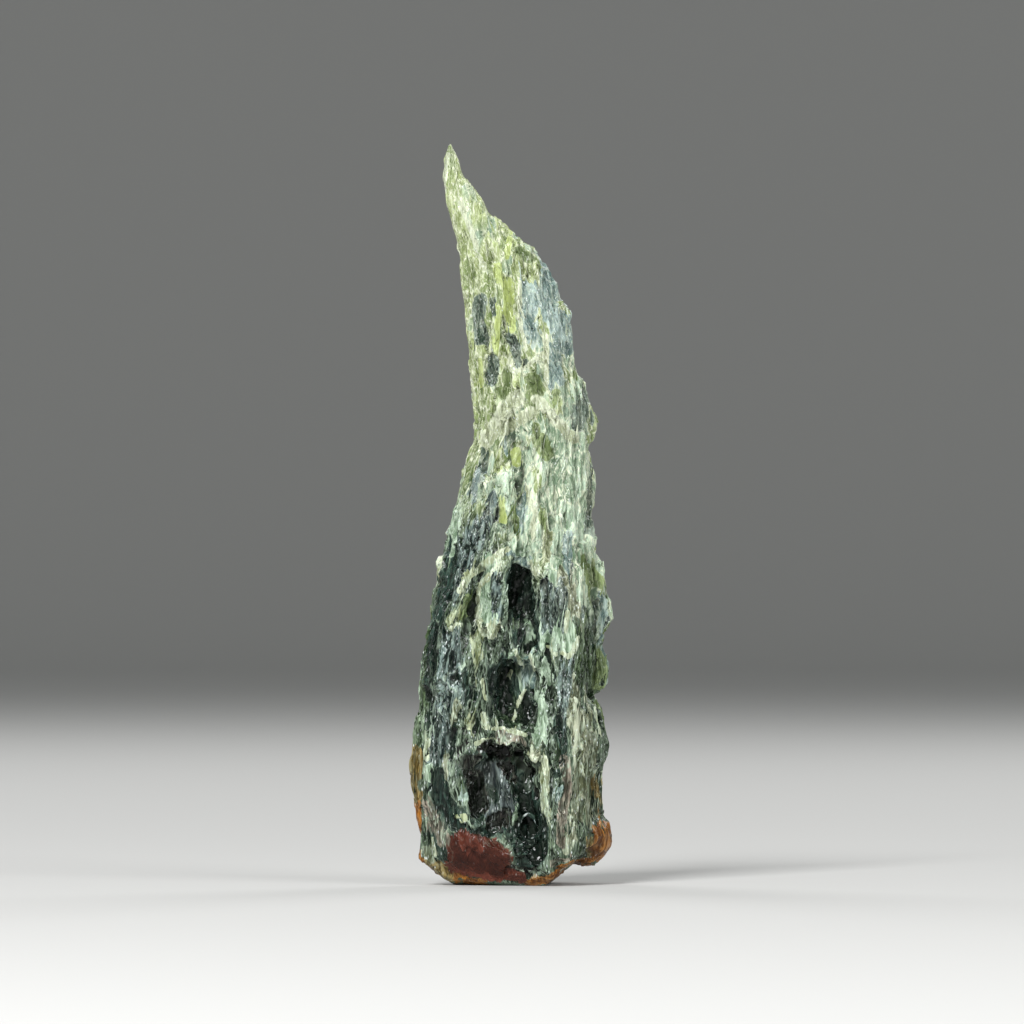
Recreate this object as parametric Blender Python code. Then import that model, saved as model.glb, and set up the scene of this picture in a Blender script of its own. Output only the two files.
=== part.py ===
"""A raw splinter of antigorite, the platy and fibrous serpentine: one stone, 120 mm tall, on its broken base.

The stone is a bundle of long laths that run up its length, broken into a tapering blade with a leaning point.
Its front, which faces -Y, has a rib down the left, a tongue-shaped plate, three hollows one above the other,
a ledge over the lowest of them and a smooth facet at the foot. Thin flakes stand out along both edges.
Sizes below are millimetres, in a frame with X across the front, Z up, and Z = 0 on the resting face.
"""

import math

import bmesh
import bpy
import numpy as np
from mathutils import Vector, noise

MM = 0.001

# The outline seen from the front, from the point down to the foot: height, then place across.
LEFT_EDGE = (
    (119.9, -9.9), (119.4, -10.5), (117.7, -11.1), (115.7, -11.0), (114.5, -11.4), (112.8, -11.1),
    (108.5, -10.3), (105.3, -9.8), (102.2, -8.8), (95.8, -7.8), (89.3, -7.3), (84.3, -6.8),
    (79.1, -5.8), (71.6, -5.6), (70.0, -6.4), (66.6, -7.7), (63.5, -8.2), (60.6, -9.2),
    (57.2, -10.2), (52.0, -10.9), (48.0, -11.8), (41.3, -14.1), (37.2, -15.0), (29.7, -15.5),
    (24.7, -16.3), (17.2, -17.4), (13.5, -16.5), (10.3, -15.5), (7.9, -15.2), (4.2, -15.7), (-2.0, -15.5),
)
RIGHT_EDGE = (
    (119.9, -9.9), (119.0, -9.3), (116.2, -8.5), (113.6, -7.6), (113.0, -6.7), (111.1, -5.1),
    (108.5, -4.1), (107.6, -3.5), (107.4, -2.4), (106.7, -1.8), (106.1, -0.6), (105.3, -0.2),
    (104.1, 1.5), (102.8, 2.9), (102.4, 3.8), (100.8, 4.7), (97.5, 6.8), (94.2, 7.7),
    (93.6, 8.8), (91.1, 9.5), (89.3, 9.8), (85.3, 9.5), (82.9, 10.5), (80.4, 11.6),
    (77.3, 12.5), (70.8, 12.2), (67.7, 13.2), (61.9, 13.3), (59.3, 13.0), (56.6, 13.6), (54.3, 13.2),
    (48.0, 13.4), (42.0, 13.4), (34.0, 12.9), (30.4, 12.6), (28.7, 14.1), (22.2, 15.6), (17.4, 14.2),
    (11.6, 14.3), (8.4, 15.9), (5.0, 15.9), (-2.0, 14.5),
)
# How far the front and the back stand from the middle plane, and how far that plane bows back, by height.
DEPTHS = (
    (119.9, 0.8, 0.8, 1.2), (117.0, 1.3, 1.2, 1.0), (112.0, 2.1, 1.9, 0.6), (106.0, 3.3, 2.9, 0.2),
    (98.0, 4.9, 4.5, -0.3), (88.0, 6.0, 5.6, -0.5), (74.0, 6.8, 6.6, 0.0), (64.0, 8.3, 7.8, 0.3),
    (52.0, 10.0, 9.2, 0.4), (38.0, 10.8, 10.2, 0.2), (22.0, 11.2, 10.8, 0.0), (8.0, 10.8, 10.4, 0.0),
    (-2.0, 9.8, 9.6, 0.0),
)
LEVEL_STEP = 0.5
RING_POINTS = 96
# 1 is a plain oval section; less fills out its corners.
SECTION_FULLNESS = 0.82
# Chips along the edges: the size of one across and up, and how far it goes in or out.
EDGE_CHIP_SIZE = (3.0, 1.7)
EDGE_CHIP_DEPTH = 0.45

# The laths follow the left edge near the point and spread towards the foot: height, left guide, right guide.
GRAIN_GUIDES = (
    (120.0, -10.2, 1.9), (102.0, -8.7, 6.9), (89.0, -7.3, 9.5), (73.0, -5.6, 12.6), (65.0, -7.9, 13.2),
    (54.0, -10.8, 13.7), (43.0, -13.7, 14.2), (30.0, -15.2, 14.2), (13.0, -16.1, 14.4), (-2.0, -15.6, 14.7),
)
GRAIN_SPAN = 24.0

# Flat breaks across the stone: a point on the break, and the way it faces.
BREAKS = (
    ((5.9, 0.0, 0.0), (0.64, -0.05, -0.77)),
    ((-10.0, 0.0, 0.8), (-0.60, 0.08, -0.80)),
    ((3.0, -9.5, 0.5), (-0.12, -0.33, -0.94)),
    ((3.0, 7.6, 0.8), (0.10, 0.62, -0.78)),
    ((-5.2, -10.0, 6.0), (-0.16, -0.86, -0.48)),
    ((-15.4, -5.2, 31.0), (-0.78, -0.62, 0.03)),
    ((14.2, -6.6, 24.0), (0.76, -0.65, 0.03)),
    ((12.6, -3.8, 62.0), (0.70, -0.71, 0.08)),
    ((-4.0, 10.2, 30.0), (-0.20, 0.97, 0.06)),
    ((8.0, 9.2, 26.0), (0.42, 0.90, 0.04)),
    ((-14.6, 6.6, 24.0), (-0.64, 0.77, 0.02)),
    ((3.5, 7.6, 60.0), (0.16, 0.98, 0.08)),
    ((-5.2, 5.2, 78.0), (-0.58, 0.81, -0.02)),
    ((10.0, 4.2, 84.0), (0.62, 0.77, 0.10)),
    ((2.0, -3.4, 101.0), (0.34, -0.87, 0.35)),
)

# Thin flakes at the edges: the middle's place across, up and back, then half width, half height,
# half thickness and turn in degrees.
FLAKES = {
    "right_nub": (12.1, 73.9, 0.6, 2.3, 3.5, 1.5, 12),
    "right_shoulder": (11.9, 64.4, -0.4, 2.3, 5.2, 1.7, -8),
    "right_olive": (12.2, 49.2, 0.2, 3.5, 4.4, 1.8, -14),
    "right_wing": (12.1, 43.6, 1.6, 4.9, 5.8, 1.7, -14),
    "right_fan": (11.4, 35.3, 2.0, 4.7, 5.0, 1.7, -12),
    "left_blade": (-9.7, 50.6, -1.0, 2.0, 3.8, 1.2, 14),
}
# Their outlines waver: fineness and size of each wave.
FLAKE_WAVES = ((2.3, 0.11), (6.1, 0.06))
# The blunt corner that juts out low on the right, in the same order. The breaks leave it whole.
CORNER = (12.0, 7.6, -0.6, 4.4, 4.7, 5.2, 0)

# Raised ribs and plates of each face: half width, height, sharpness of the sides, then points across and up.
FRONT_RIBS = {
    "left_rib": (3.8, 1.9, 0.9, ((-3.6, 64.0), (-6.4, 56.0), (-9.2, 49.0), (-11.4, 41.0), (-12.6, 33.0))),
    "tongue": (2.0, 1.7, 0.35, ((-1.0, 53.4), (-2.6, 48.0), (-2.6, 41.4))),
    "cream_splinter": (1.1, 1.1, 0.6, ((-1.8, 56.4), (-5.6, 50.4), (-8.4, 45.0), (-9.8, 42.2))),
    "left_block": (3.0, 1.2, 0.3, ((-8.8, 37.6), (-9.2, 27.0))),
    "middle_splinter": (1.5, 0.9, 0.5, ((4.0, 68.0), (3.4, 58.0), (4.8, 50.0))),
    "right_column": (3.6, 1.5, 0.45, ((8.2, 50.0), (9.0, 36.0), (9.4, 20.0), (9.2, 6.0))),
    "column_rim": (0.9, 0.9, 0.5, ((3.8, 22.4), (5.4, 20.4), (5.6, 12.0))),
    "waist_knot": (2.2, 1.0, 0.8, ((-1.6, 76.4), (1.4, 73.6), (5.0, 70.4))),
    "upper_spine": (1.2, 0.8, 0.6, ((-4.0, 104.0), (-3.4, 92.0), (-3.0, 82.0))),
    "upper_right": (3.2, 0.8, 0.7, ((4.4, 98.0), (6.6, 88.0), (7.8, 78.0))),
    "lower_lump": (1.8, 1.5, 0.9, ((-0.6, 16.0), (0.8, 11.6))),
}

BACK_RIBS = {
    "back_spine": (3.0, 1.3, 0.5, ((1.0, 96.0), (3.0, 74.0), (3.6, 52.0), (2.4, 30.0))),
    "back_left_lath": (2.4, 1.0, 0.4, ((-6.6, 58.0), (-9.4, 40.0), (-10.6, 18.0))),
    "back_right_lath": (2.0, 1.1, 0.4, ((9.4, 44.0), (10.0, 26.0), (9.6, 9.0))),
    "back_foot_plate": (3.4, 1.2, 0.3, ((-3.4, 18.0), (-2.0, 7.0))),
}

# Hollows of each face: middle across and up, half width, half height, depth, share of it that is wall.
FRONT_HOLLOWS = {
    "upper_window": (1.7, 46.9, 2.4, 5.8, 2.8, 0.50),
    "window_tail": (2.4, 39.6, 1.5, 4.6, 1.4, 0.60),
    "middle_window": (1.2, 31.2, 4.3, 6.4, 3.4, 0.45),
    "olive_nook": (-6.9, 44.4, 1.8, 2.3, 1.5, 0.60),
    "foot_hollow": (-0.8, 14.4, 6.4, 9.4, 3.5, 0.30),
    "foot_slot": (3.6, 7.4, 2.3, 4.4, 2.0, 0.55),
    "lozenge_high": (0.2, 86.4, 1.3, 2.2, 0.8, 0.60),
    "lozenge_left": (-3.4, 82.6, 1.4, 2.8, 0.9, 0.60),
    "lozenge_waist": (5.2, 70.4, 1.5, 2.4, 0.8, 0.60),
    "green_strip": (-0.6, 93.0, 1.2, 5.8, 0.6, 0.50),
    "left_valley": (-4.6, 60.4, 1.2, 5.0, 0.9, 0.80),
}
BACK_HOLLOWS = {
    "back_trough": (-3.6, 38.0, 2.6, 12.0, 2.0, 0.60),
    "back_notch": (7.0, 61.0, 2.0, 5.0, 1.3, 0.50),
    "back_scar": (3.4, 13.0, 3.6, 6.0, 1.9, 0.35),
    "back_high_scar": (-1.6, 82.0, 1.5, 6.0, 1.0, 0.50),
}
# Ribs and hollows have ragged sides: how fine the raggedness is, and how far it shifts them across and up.
RAGGED_SCALE = 0.45
RAGGED_SHIFT = (0.8, 1.2)
# How far off in the noise the upward shift is taken, so that it differs from the sideways one.
SECOND_NOISE = Vector((0.0, 40.0, 0.0))
# Where the face turns fore or aft enough to carry them: a share of the full turn, from none to all.
FACE_TURN = (0.15, 0.6)

# The facet at the foot of the front, which broke smooth: middle across and up, half width, half height.
SMOOTH_FACET = (-5.0, 5.4, 6.4, 4.8)
FACET_BORDER = 0.3
FACET_SMOOTHNESS = 0.85

# The laths themselves: width, length, height of a step between neighbours, depth of the seam between them.
LATHS = ((4.6, 24.0, 0.70, 0.30), (2.1, 11.0, 0.36, 0.16))
LATH_TILT = (1.4, 1.6)
SEAM_WIDTH = 0.16
# The laths waver a little: over what size across and up, and by how many of their widths and lengths.
WAVER_SIZE = (9.0, 26.0)
WAVER_SHARE = (0.35, 0.2)
# Where in the noise the laths are taken from, and a factor, not a whole number, that tells their seeds apart.
LATH_SEED = 3.0
SEED_SPREAD = 7.31

# The relief is full where the front stands this far out, and fades to a share of it at the thin point.
FULL_RELIEF_DEPTH = 6.0
POINT_RELIEF = 0.22
# It also fades out just over the resting face.
FOOT_FADE = (0.2, 2.5)
# Sideways the surface moves less, so that the outline stays.
SIDEWAYS_SHARE = 0.5

VOXEL = 0.45
TRIANGLES = 9400
SMALLEST_EDGE = 0.01
SHARP_EDGE_DEGREES = 35.0
STONE_GREEN = (0.30, 0.36, 0.24, 1.0)
STONE_ROUGHNESS = 0.42


def between(low, high, value):
    """0 below low, 1 above high, and a smooth climb between them."""
    t = np.clip((value - low) / (high - low), 0.0, 1.0)
    return t * t * (3.0 - 2.0 * t)


def by_height(table, column, height):
    """A column of a table whose first column is the height, read at any height."""
    rows = sorted(table)
    return np.interp(height, [row[0] for row in rows], [row[column] for row in rows])


def clear_scene():
    for obj in list(bpy.data.objects):
        bpy.data.objects.remove(obj)


def section(height):
    """One level of the blade: a full, rounded outline between the two edges."""
    left = by_height(LEFT_EDGE, 1, height)
    right = by_height(RIGHT_EDGE, 1, height)
    front = by_height(DEPTHS, 1, height)
    back = by_height(DEPTHS, 2, height)
    bow = by_height(DEPTHS, 3, height)
    points = []
    for i in range(RING_POINTS):
        angle = 2.0 * math.pi * i / RING_POINTS
        across, deep = math.cos(angle), math.sin(angle)
        across = math.copysign(abs(across) ** SECTION_FULLNESS, across)
        deep = math.copysign(abs(deep) ** SECTION_FULLNESS, deep)
        x = (left + right) / 2.0 + (right - left) / 2.0 * across
        y = bow + deep * (back if deep > 0.0 else front)
        chip = noise.noise(Vector((across, y / EDGE_CHIP_SIZE[0], height / EDGE_CHIP_SIZE[1])))
        points.append((x + EDGE_CHIP_DEPTH * across * chip, y, height))
    return points


def add_blade(bm):
    """The whole blade as levels joined one to the next and closed at both ends."""
    low, high = LEFT_EDGE[-1][0], LEFT_EDGE[0][0]
    count = round((high - low) / LEVEL_STEP)
    levels = [low + (high - low) * i / count for i in range(count + 1)]
    rings = [[bm.verts.new(point) for point in section(height)] for height in levels]
    for below, above in zip(rings, rings[1:]):
        for i in range(RING_POINTS):
            j = (i + 1) % RING_POINTS
            bm.faces.new((below[i], below[j], above[j], above[i]))
    bm.faces.new(reversed(rings[0]))
    bm.faces.new(rings[-1])


def break_off(bm, point, facing):
    """Takes away what lies beyond a flat break and closes the stone there."""
    everything = bm.verts[:] + bm.edges[:] + bm.faces[:]
    cut = bmesh.ops.bisect_plane(
        bm, geom=everything, plane_co=point, plane_no=Vector(facing).normalized(), clear_outer=True
    )
    rim = [item for item in cut["geom_cut"] if isinstance(item, bmesh.types.BMEdge)]
    if rim:
        bmesh.ops.edgeloop_fill(bm, edges=rim)


def add_flake(bm, x, z, y, half_width, half_height, half_thickness, turn):
    """A thin lens that overlaps the blade and stands out past its edge."""
    made = bmesh.ops.create_icosphere(bm, subdivisions=4, radius=1.0)
    turned = math.radians(turn)
    seed = Vector((x, z, 0.0))
    for vert in made["verts"]:
        wavy = 1.0 + sum(size * noise.noise(vert.co * fineness + seed) for fineness, size in FLAKE_WAVES)
        across = vert.co.x * half_width * wavy
        deep = vert.co.y * half_thickness
        up = vert.co.z * half_height * wavy
        vert.co = (
            x + across * math.cos(turned) - deep * math.sin(turned),
            y + across * math.sin(turned) + deep * math.cos(turned),
            z + up,
        )


def mesh_object(name, bm):
    mesh = bpy.data.meshes.new(name)
    bm.to_mesh(mesh)
    bm.free()
    obj = bpy.data.objects.new(name, mesh)
    bpy.context.scene.collection.objects.link(obj)
    return obj


def settle_modifiers(obj):
    """Makes what the modifiers show the object's own mesh."""
    bpy.context.view_layer.update()
    evaluated = obj.evaluated_get(bpy.context.evaluated_depsgraph_get())
    settled = bpy.data.meshes.new_from_object(evaluated)
    obj.modifiers.clear()
    obj.data = settled


def along_grain(points):
    """The points with X straightened, so that every lath stands upright."""
    left = by_height(GRAIN_GUIDES, 1, points[:, 2])
    right = by_height(GRAIN_GUIDES, 2, points[:, 2])
    straight = points.copy()
    straight[:, 0] = ((points[:, 0] - left) / (right - left) - 0.5) * GRAIN_SPAN
    return straight


def lath_relief(points, width, length, step, seam):
    """Steps between neighbouring laths, a slight tilt of each one, and a seam where two meet."""
    relief = np.zeros(len(points))
    for i, (x, y, z) in enumerate(along_grain(points)):
        waver = noise.noise(Vector((x / WAVER_SIZE[0], y / WAVER_SIZE[0], z / WAVER_SIZE[1])))
        across = x / width + WAVER_SHARE[0] * waver
        place = Vector((across, y / width + LATH_SEED, z / length + WAVER_SHARE[1] * waver))
        gaps, seeds = noise.voronoi(place)
        own = noise.cell_vector(seeds[0] * SEED_SPREAD + Vector((width, 0.5, 0.5)))
        offset = place - seeds[0]
        tilt = (own.y - 0.5) * offset.x * LATH_TILT[0] + (own.z - 0.5) * offset.z * LATH_TILT[1]
        near_seam = 1.0 - between(0.0, SEAM_WIDTH, gaps[1] - gaps[0])
        relief[i] = step * ((own.x - 0.5) * 2.0 + tilt) - seam * near_seam
    return relief


def distance_to_path(x, z, path):
    """How far each place on the front lies from a line of points."""
    nearest = np.full(len(x), np.inf)
    for (x0, z0), (x1, z1) in zip(path, path[1:]):
        run, rise = x1 - x0, z1 - z0
        share = np.clip(((x - x0) * run + (z - z0) * rise) / (run * run + rise * rise), 0.0, 1.0)
        nearest = np.minimum(nearest, np.hypot(x - x0 - share * run, z - z0 - share * rise))
    return nearest


def face_relief(x, z, ribs, hollows):
    """The ribs, plates and hollows of one face, as height above the plain blade."""
    relief = np.zeros(len(x))
    for half_width, height, wall, path in ribs.values():
        inside = 1.0 - distance_to_path(x, z, path) / half_width
        relief += height * between(0.0, wall, inside)
    for middle_x, middle_z, half_width, half_height, depth, wall in hollows.values():
        inside = 1.0 - np.hypot((x - middle_x) / half_width, (z - middle_z) / half_height)
        relief -= depth * between(0.0, wall, inside)
    return relief


def read_points(mesh):
    points = np.empty(len(mesh.vertices) * 3)
    mesh.vertices.foreach_get("co", points)
    return points.reshape(-1, 3)


def surface_normals(mesh, points):
    """Where the surface faces at each point, added up in a fixed order, so that every build is the same."""
    corners = np.empty(len(mesh.loops), dtype=np.int32)
    mesh.loops.foreach_get("vertex_index", corners)
    quads = corners.reshape(-1, 4)
    facing = np.cross(points[quads[:, 2]] - points[quads[:, 0]], points[quads[:, 3]] - points[quads[:, 1]])
    normals = np.zeros_like(points)
    for corner in quads.T:
        np.add.at(normals, corner, facing)
    return normals / np.linalg.norm(normals, axis=1, keepdims=True)


def two_sided_relief(points, facing_front, facing_back):
    """The ribs and hollows of the front on the front, and those of the back on the back."""
    ragged = np.array([noise.noise(Vector(point) * RAGGED_SCALE) for point in points])
    ragged_too = np.array([noise.noise(Vector(point) * RAGGED_SCALE + SECOND_NOISE) for point in points])
    x = points[:, 0] + RAGGED_SHIFT[0] * ragged
    z = points[:, 2] + RAGGED_SHIFT[1] * ragged_too
    front = face_relief(x, z, FRONT_RIBS, FRONT_HOLLOWS)
    back = face_relief(x, z, BACK_RIBS, BACK_HOLLOWS)
    return front * facing_front + back * facing_back


def smoothness(points, facing_front):
    """How much of the lath relief the smooth facet takes away."""
    middle_x, middle_z, half_width, half_height = SMOOTH_FACET
    inside = 1.0 - np.hypot((points[:, 0] - middle_x) / half_width, (points[:, 2] - middle_z) / half_height)
    return FACET_SMOOTHNESS * between(0.0, FACET_BORDER, inside) * facing_front


def add_relief(obj):
    """Moves the surface in and out, mostly fore and aft, so that the outline seen from the front stays."""
    mesh = obj.data
    points = read_points(mesh)
    normals = surface_normals(mesh, points)
    facing_front = between(*FACE_TURN, -normals[:, 1])
    facing_back = between(*FACE_TURN, normals[:, 1])

    laths = sum(lath_relief(points, *size) for size in LATHS)
    laths *= 1.0 - smoothness(points, facing_front)
    relief = two_sided_relief(points, facing_front, facing_back) + laths
    relief *= np.clip(by_height(DEPTHS, 1, points[:, 2]) / FULL_RELIEF_DEPTH, POINT_RELIEF, 1.0)
    relief *= between(*FOOT_FADE, points[:, 2])

    points[:, 0] += relief * normals[:, 0] * SIDEWAYS_SHARE
    points[:, 1] += relief * normals[:, 1]
    mesh.vertices.foreach_set("co", points.ravel())
    mesh.update()


def make_resting_face(obj):
    """Cuts the foot flat at Z = 0, puts the origin under the middle of the stone, and goes over to metres."""
    bm = bmesh.new()
    bm.from_mesh(obj.data)
    break_off(bm, (0.0, 0.0, 0.0), (0.0, 0.0, -1.0))
    bmesh.ops.triangulate(bm, faces=bm.faces[:])
    bmesh.ops.dissolve_degenerate(bm, dist=SMALLEST_EDGE, edges=bm.edges[:])
    bmesh.ops.triangulate(bm, faces=bm.faces[:])
    places = np.array([vert.co for vert in bm.verts])
    middle = (places.min(axis=0) + places.max(axis=0)) / 2.0
    for vert in bm.verts:
        vert.co = (vert.co - Vector((middle[0], middle[1], 0.0))) * MM
    bm.to_mesh(obj.data)
    bm.free()


def stone_material():
    material = bpy.data.materials.new("antigorite")
    material.use_nodes = True
    shader = material.node_tree.nodes["Principled BSDF"]
    shader.inputs["Base Color"].default_value = STONE_GREEN
    shader.inputs["Roughness"].default_value = STONE_ROUGHNESS
    shader.inputs["Metallic"].default_value = 0.0
    return material


def make_stone():
    bm = bmesh.new()
    add_blade(bm)
    for sizes in FLAKES.values():
        add_flake(bm, *sizes)
    for point, facing in BREAKS:
        break_off(bm, point, facing)
    add_flake(bm, *CORNER)
    bmesh.ops.recalc_face_normals(bm, faces=bm.faces[:])
    stone = mesh_object("antigorite_stone", bm)

    joined = stone.modifiers.new("one_surface", "REMESH")
    joined.mode = "VOXEL"
    joined.voxel_size = VOXEL
    settle_modifiers(stone)
    add_relief(stone)

    faces = sum(len(face.vertices) - 2 for face in stone.data.polygons)
    fewer = stone.modifiers.new("fewer_faces", "DECIMATE")
    fewer.ratio = TRIANGLES / faces
    fewer.use_collapse_triangulate = True
    settle_modifiers(stone)
    make_resting_face(stone)
    stone.data.materials.append(stone_material())
    stone.data.shade_smooth()
    stone.data.set_sharp_from_angle(angle=math.radians(SHARP_EDGE_DEGREES))


def main():
    clear_scene()
    make_stone()


main()
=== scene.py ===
# %% [markdown]
# # A splinter of antigorite, dressed for the camera
#
# The real object is one raw stone, about 120 mm tall. Antigorite is a serpentine mineral that grows in laths and
# fibres, so the stone looks like splintered wood turned to green glass: pale at its rims and cracks, dark and waxy
# where a lath is thick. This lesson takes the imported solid, gives it the finer laths that a plain solid can't carry,
# lays loose splinters in the grain, and then builds one shader that paints all of it from masks.

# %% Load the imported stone
import math

import bpy
import numpy as np
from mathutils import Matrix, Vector, noise
from mathutils.bvhtree import BVHTree


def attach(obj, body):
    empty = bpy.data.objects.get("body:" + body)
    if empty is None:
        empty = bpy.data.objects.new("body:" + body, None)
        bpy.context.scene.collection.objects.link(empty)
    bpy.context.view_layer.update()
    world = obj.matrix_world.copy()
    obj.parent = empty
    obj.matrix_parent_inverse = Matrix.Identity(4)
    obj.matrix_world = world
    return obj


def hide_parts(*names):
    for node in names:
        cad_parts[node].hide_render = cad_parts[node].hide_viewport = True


MM = 0.001
STONE = "antigorite_stone"

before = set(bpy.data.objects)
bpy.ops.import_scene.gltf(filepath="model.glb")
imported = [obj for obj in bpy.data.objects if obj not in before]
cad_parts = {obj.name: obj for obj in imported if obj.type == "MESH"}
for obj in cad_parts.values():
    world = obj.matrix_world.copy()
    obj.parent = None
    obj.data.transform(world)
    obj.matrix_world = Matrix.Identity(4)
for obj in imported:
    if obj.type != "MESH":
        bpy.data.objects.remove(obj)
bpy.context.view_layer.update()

# %% [markdown]
# ## The grain
#
# Every fibre runs from the foot to the point. Near the point the fibres follow the left edge, and below the waist they
# spread. Two guide lines hold this: where the leftmost and the rightmost fibre pass at each height. A place on the
# stone is then told by which fibre it is on, and everything stretched along the fibres becomes simple: it is stretched
# along Z. A texture made of these straightened places bends with the stone by itself.

# %% Straighten the grain
GRAIN_GUIDES = (  # height, then the left and the right guide, in millimetres
    (-2.0, -15.9, 14.4), (13.0, -16.4, 14.2), (30.0, -15.5, 14.0), (43.0, -14.0, 14.0), (54.0, -11.1, 13.4),
    (65.0, -8.2, 12.9), (73.0, -5.9, 12.4), (89.0, -7.6, 9.2), (102.0, -9.0, 6.6), (120.0, -10.5, 1.6),
)
GRAIN_SPAN = 24.0
FIBRE_LENGTHS = ((-5.0, 20.0, 45.0, 70.0, 125.0), (0.0, 13.0, 33.0, 58.0, 120.0))  # long at the foot, short above


def guide(column, height):
    """Where a guide line passes at a height."""
    return np.interp(height, [row[0] for row in GRAIN_GUIDES], [row[column] for row in GRAIN_GUIDES])


def straightened(points):
    """The same places with X told by the fibre, as if every fibre stood upright."""
    left, right = guide(1, points[:, 2]), guide(2, points[:, 2])
    grain = points.copy()
    grain[:, 0] = ((points[:, 0] - left) / (right - left) - 0.5) * GRAIN_SPAN
    grain[:, 2] = np.interp(points[:, 2], *FIBRE_LENGTHS)
    return grain


def on_fibre(fibre, height):
    """Where a fibre passes at a height."""
    left, right = guide(1, height), guide(2, height)
    return left + (fibre / GRAIN_SPAN + 0.5) * (right - left)


# %% [markdown]
# ## A finer surface
#
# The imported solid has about 9,400 triangles, too few for laths of half a millimetre. Its mesh may not be changed, so
# a copy is taken, and a voxel Remesh lays an even skin of small quads over it. After that the mesh is handled as
# arrays in numpy, which is far quicker than one vertex at a time.

# %% Copy the stone and remesh it
SURFACE_VOXEL = 0.30


def even_skin(node, name):
    """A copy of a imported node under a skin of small, even quads."""
    rough = bpy.data.objects.new(name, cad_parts[node].data.copy())
    bpy.context.scene.collection.objects.link(rough)
    remesh = rough.modifiers.new("even_skin", "REMESH")
    remesh.mode = "VOXEL"
    remesh.voxel_size = SURFACE_VOXEL * MM
    bpy.context.view_layer.update()
    skin = bpy.data.meshes.new_from_object(rough.evaluated_get(bpy.context.evaluated_depsgraph_get()))
    rough.modifiers.clear()
    rough.data = skin
    skin.materials.clear()
    return rough


def read_array(collection, name, width, kind=np.float64):
    """One property of all vertices, edges or loops, as rows of the given width."""
    values = np.empty(len(collection) * width, dtype=kind)
    collection.foreach_get(name, values)
    return values.reshape(-1, width)


stone = even_skin(STONE, "stone_surface")
points = read_array(stone.data.vertices, "co", 3) / MM
edges = read_array(stone.data.edges, "vertices", 2, np.int32)
quads = read_array(stone.data.loops, "vertex_index", 1, np.int32).reshape(-1, 4)
print("skin:", len(points), "points,", 2 * len(quads), "triangles")

# %% [markdown]
# ## Tools for the whole skin
#
# The next cells need three tools that work on all points at once: a smooth step from 0 to 1, a mean over the
# neighbours, and the direction in which the skin faces. Averaging a few times smooths the skin. Averaging many times
# tells what its surroundings are like.

# %% Tools that work on the whole skin at once
SETTLE_ROUNDS = 3
BROAD_ROUNDS = 40

neighbours = np.bincount(edges.ravel(), minlength=len(points))


def between(low, high, value):
    """0 below low, 1 above high, and a smooth climb between them. With low above high it falls."""
    share = np.clip((value - low) / (high - low), 0.0, 1.0)
    return share * share * (3.0 - 2.0 * share)


def averaged(values, rounds):
    """Each value replaced by the mean of its neighbours' and its own, so many times over."""
    columns = values.reshape(len(values), -1).copy()
    for _ in range(rounds):
        for k in range(columns.shape[1]):
            column = columns[:, k]
            summed = np.bincount(edges[:, 0], weights=column[edges[:, 1]], minlength=len(column))
            summed += np.bincount(edges[:, 1], weights=column[edges[:, 0]], minlength=len(column))
            columns[:, k] = (summed + column) / (neighbours + 1)
    return columns.reshape(values.shape)


def facing(places):
    """Where the skin faces at each point."""
    diagonals = places[quads[:, 2]] - places[quads[:, 0]], places[quads[:, 3]] - places[quads[:, 1]]
    across = np.cross(*diagonals)
    normals = np.zeros_like(places)
    for corner in quads.T:
        for k in range(3):
            normals[:, k] += np.bincount(corner, weights=across[:, k], minlength=len(places))
    return normals / np.linalg.norm(normals, axis=1, keepdims=True)


points = averaged(points, SETTLE_ROUNDS)
normals = facing(points)
broad_normals = averaged(normals, BROAD_ROUNDS)
grain = straightened(points)

# %% [markdown]
# ## Laths, fibres and cracks
#
# Broken antigorite is a stack of laths that end at different heights. Voronoi cells stretched along the grain give
# just that: each cell is one lath, with a height and a tilt of its own, and where two cells meet there is a seam. The
# same cells also give each lath a tone, so that colour and shape agree. Three sizes are laid over each other.

# %% Raise the laths
LATHS = {  # width, length, height of a step, depth of the seam, in millimetres
    "laths": (2.0, 9.0, 0.30, 0.14),
    "fibres": (0.90, 5.0, 0.17, 0.10),
    "hairs": (0.45, 3.2, 0.09, 0.06),
}
TONE_SEED = Vector((0.5, 0.5, 0.5))


def waver(places, size, shift=0.0):
    """Smooth noise between about -0.7 and 0.7, with bumps of the given size. Another shift gives another noise."""
    scaled = places / np.array(size) + shift
    return np.array([noise.noise(Vector(place)) for place in scaled.tolist()])


def lath_cells(places, width, length):
    """For each point: the height of its lath there, the gap to the next lath, and the lath's tone."""
    scaled = places / np.array((width, width, length))
    scaled[:, 0] += 0.4 * waver(places, (width * 3, width * 3, length))
    rise, gap, tone = np.empty((3, len(places)))
    for i, place in enumerate(map(Vector, scaled.tolist())):
        distances, seeds = noise.voronoi(place)
        own = noise.cell_vector(seeds[0] * 7.31 + TONE_SEED)
        offset = place - seeds[0]
        rise[i] = 2.0 * own.x - 1.0 + 1.5 * (own.y - 0.5) * offset.x + 1.8 * (own.z - 0.5) * offset.z
        gap[i] = distances[1] - distances[0]
        tone[i] = own.z
    return rise, gap, tone


relief = np.zeros(len(points))
tones = {}
for name, (width, length, step, seam) in LATHS.items():
    rise, gap, tones[name] = lath_cells(grain, width, length)
    relief += step * rise - seam * (1.0 - between(0.0, 0.22, gap))
print("lath relief, mm: from", round(relief.min(), 2), "to", round(relief.max(), 2))

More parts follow.
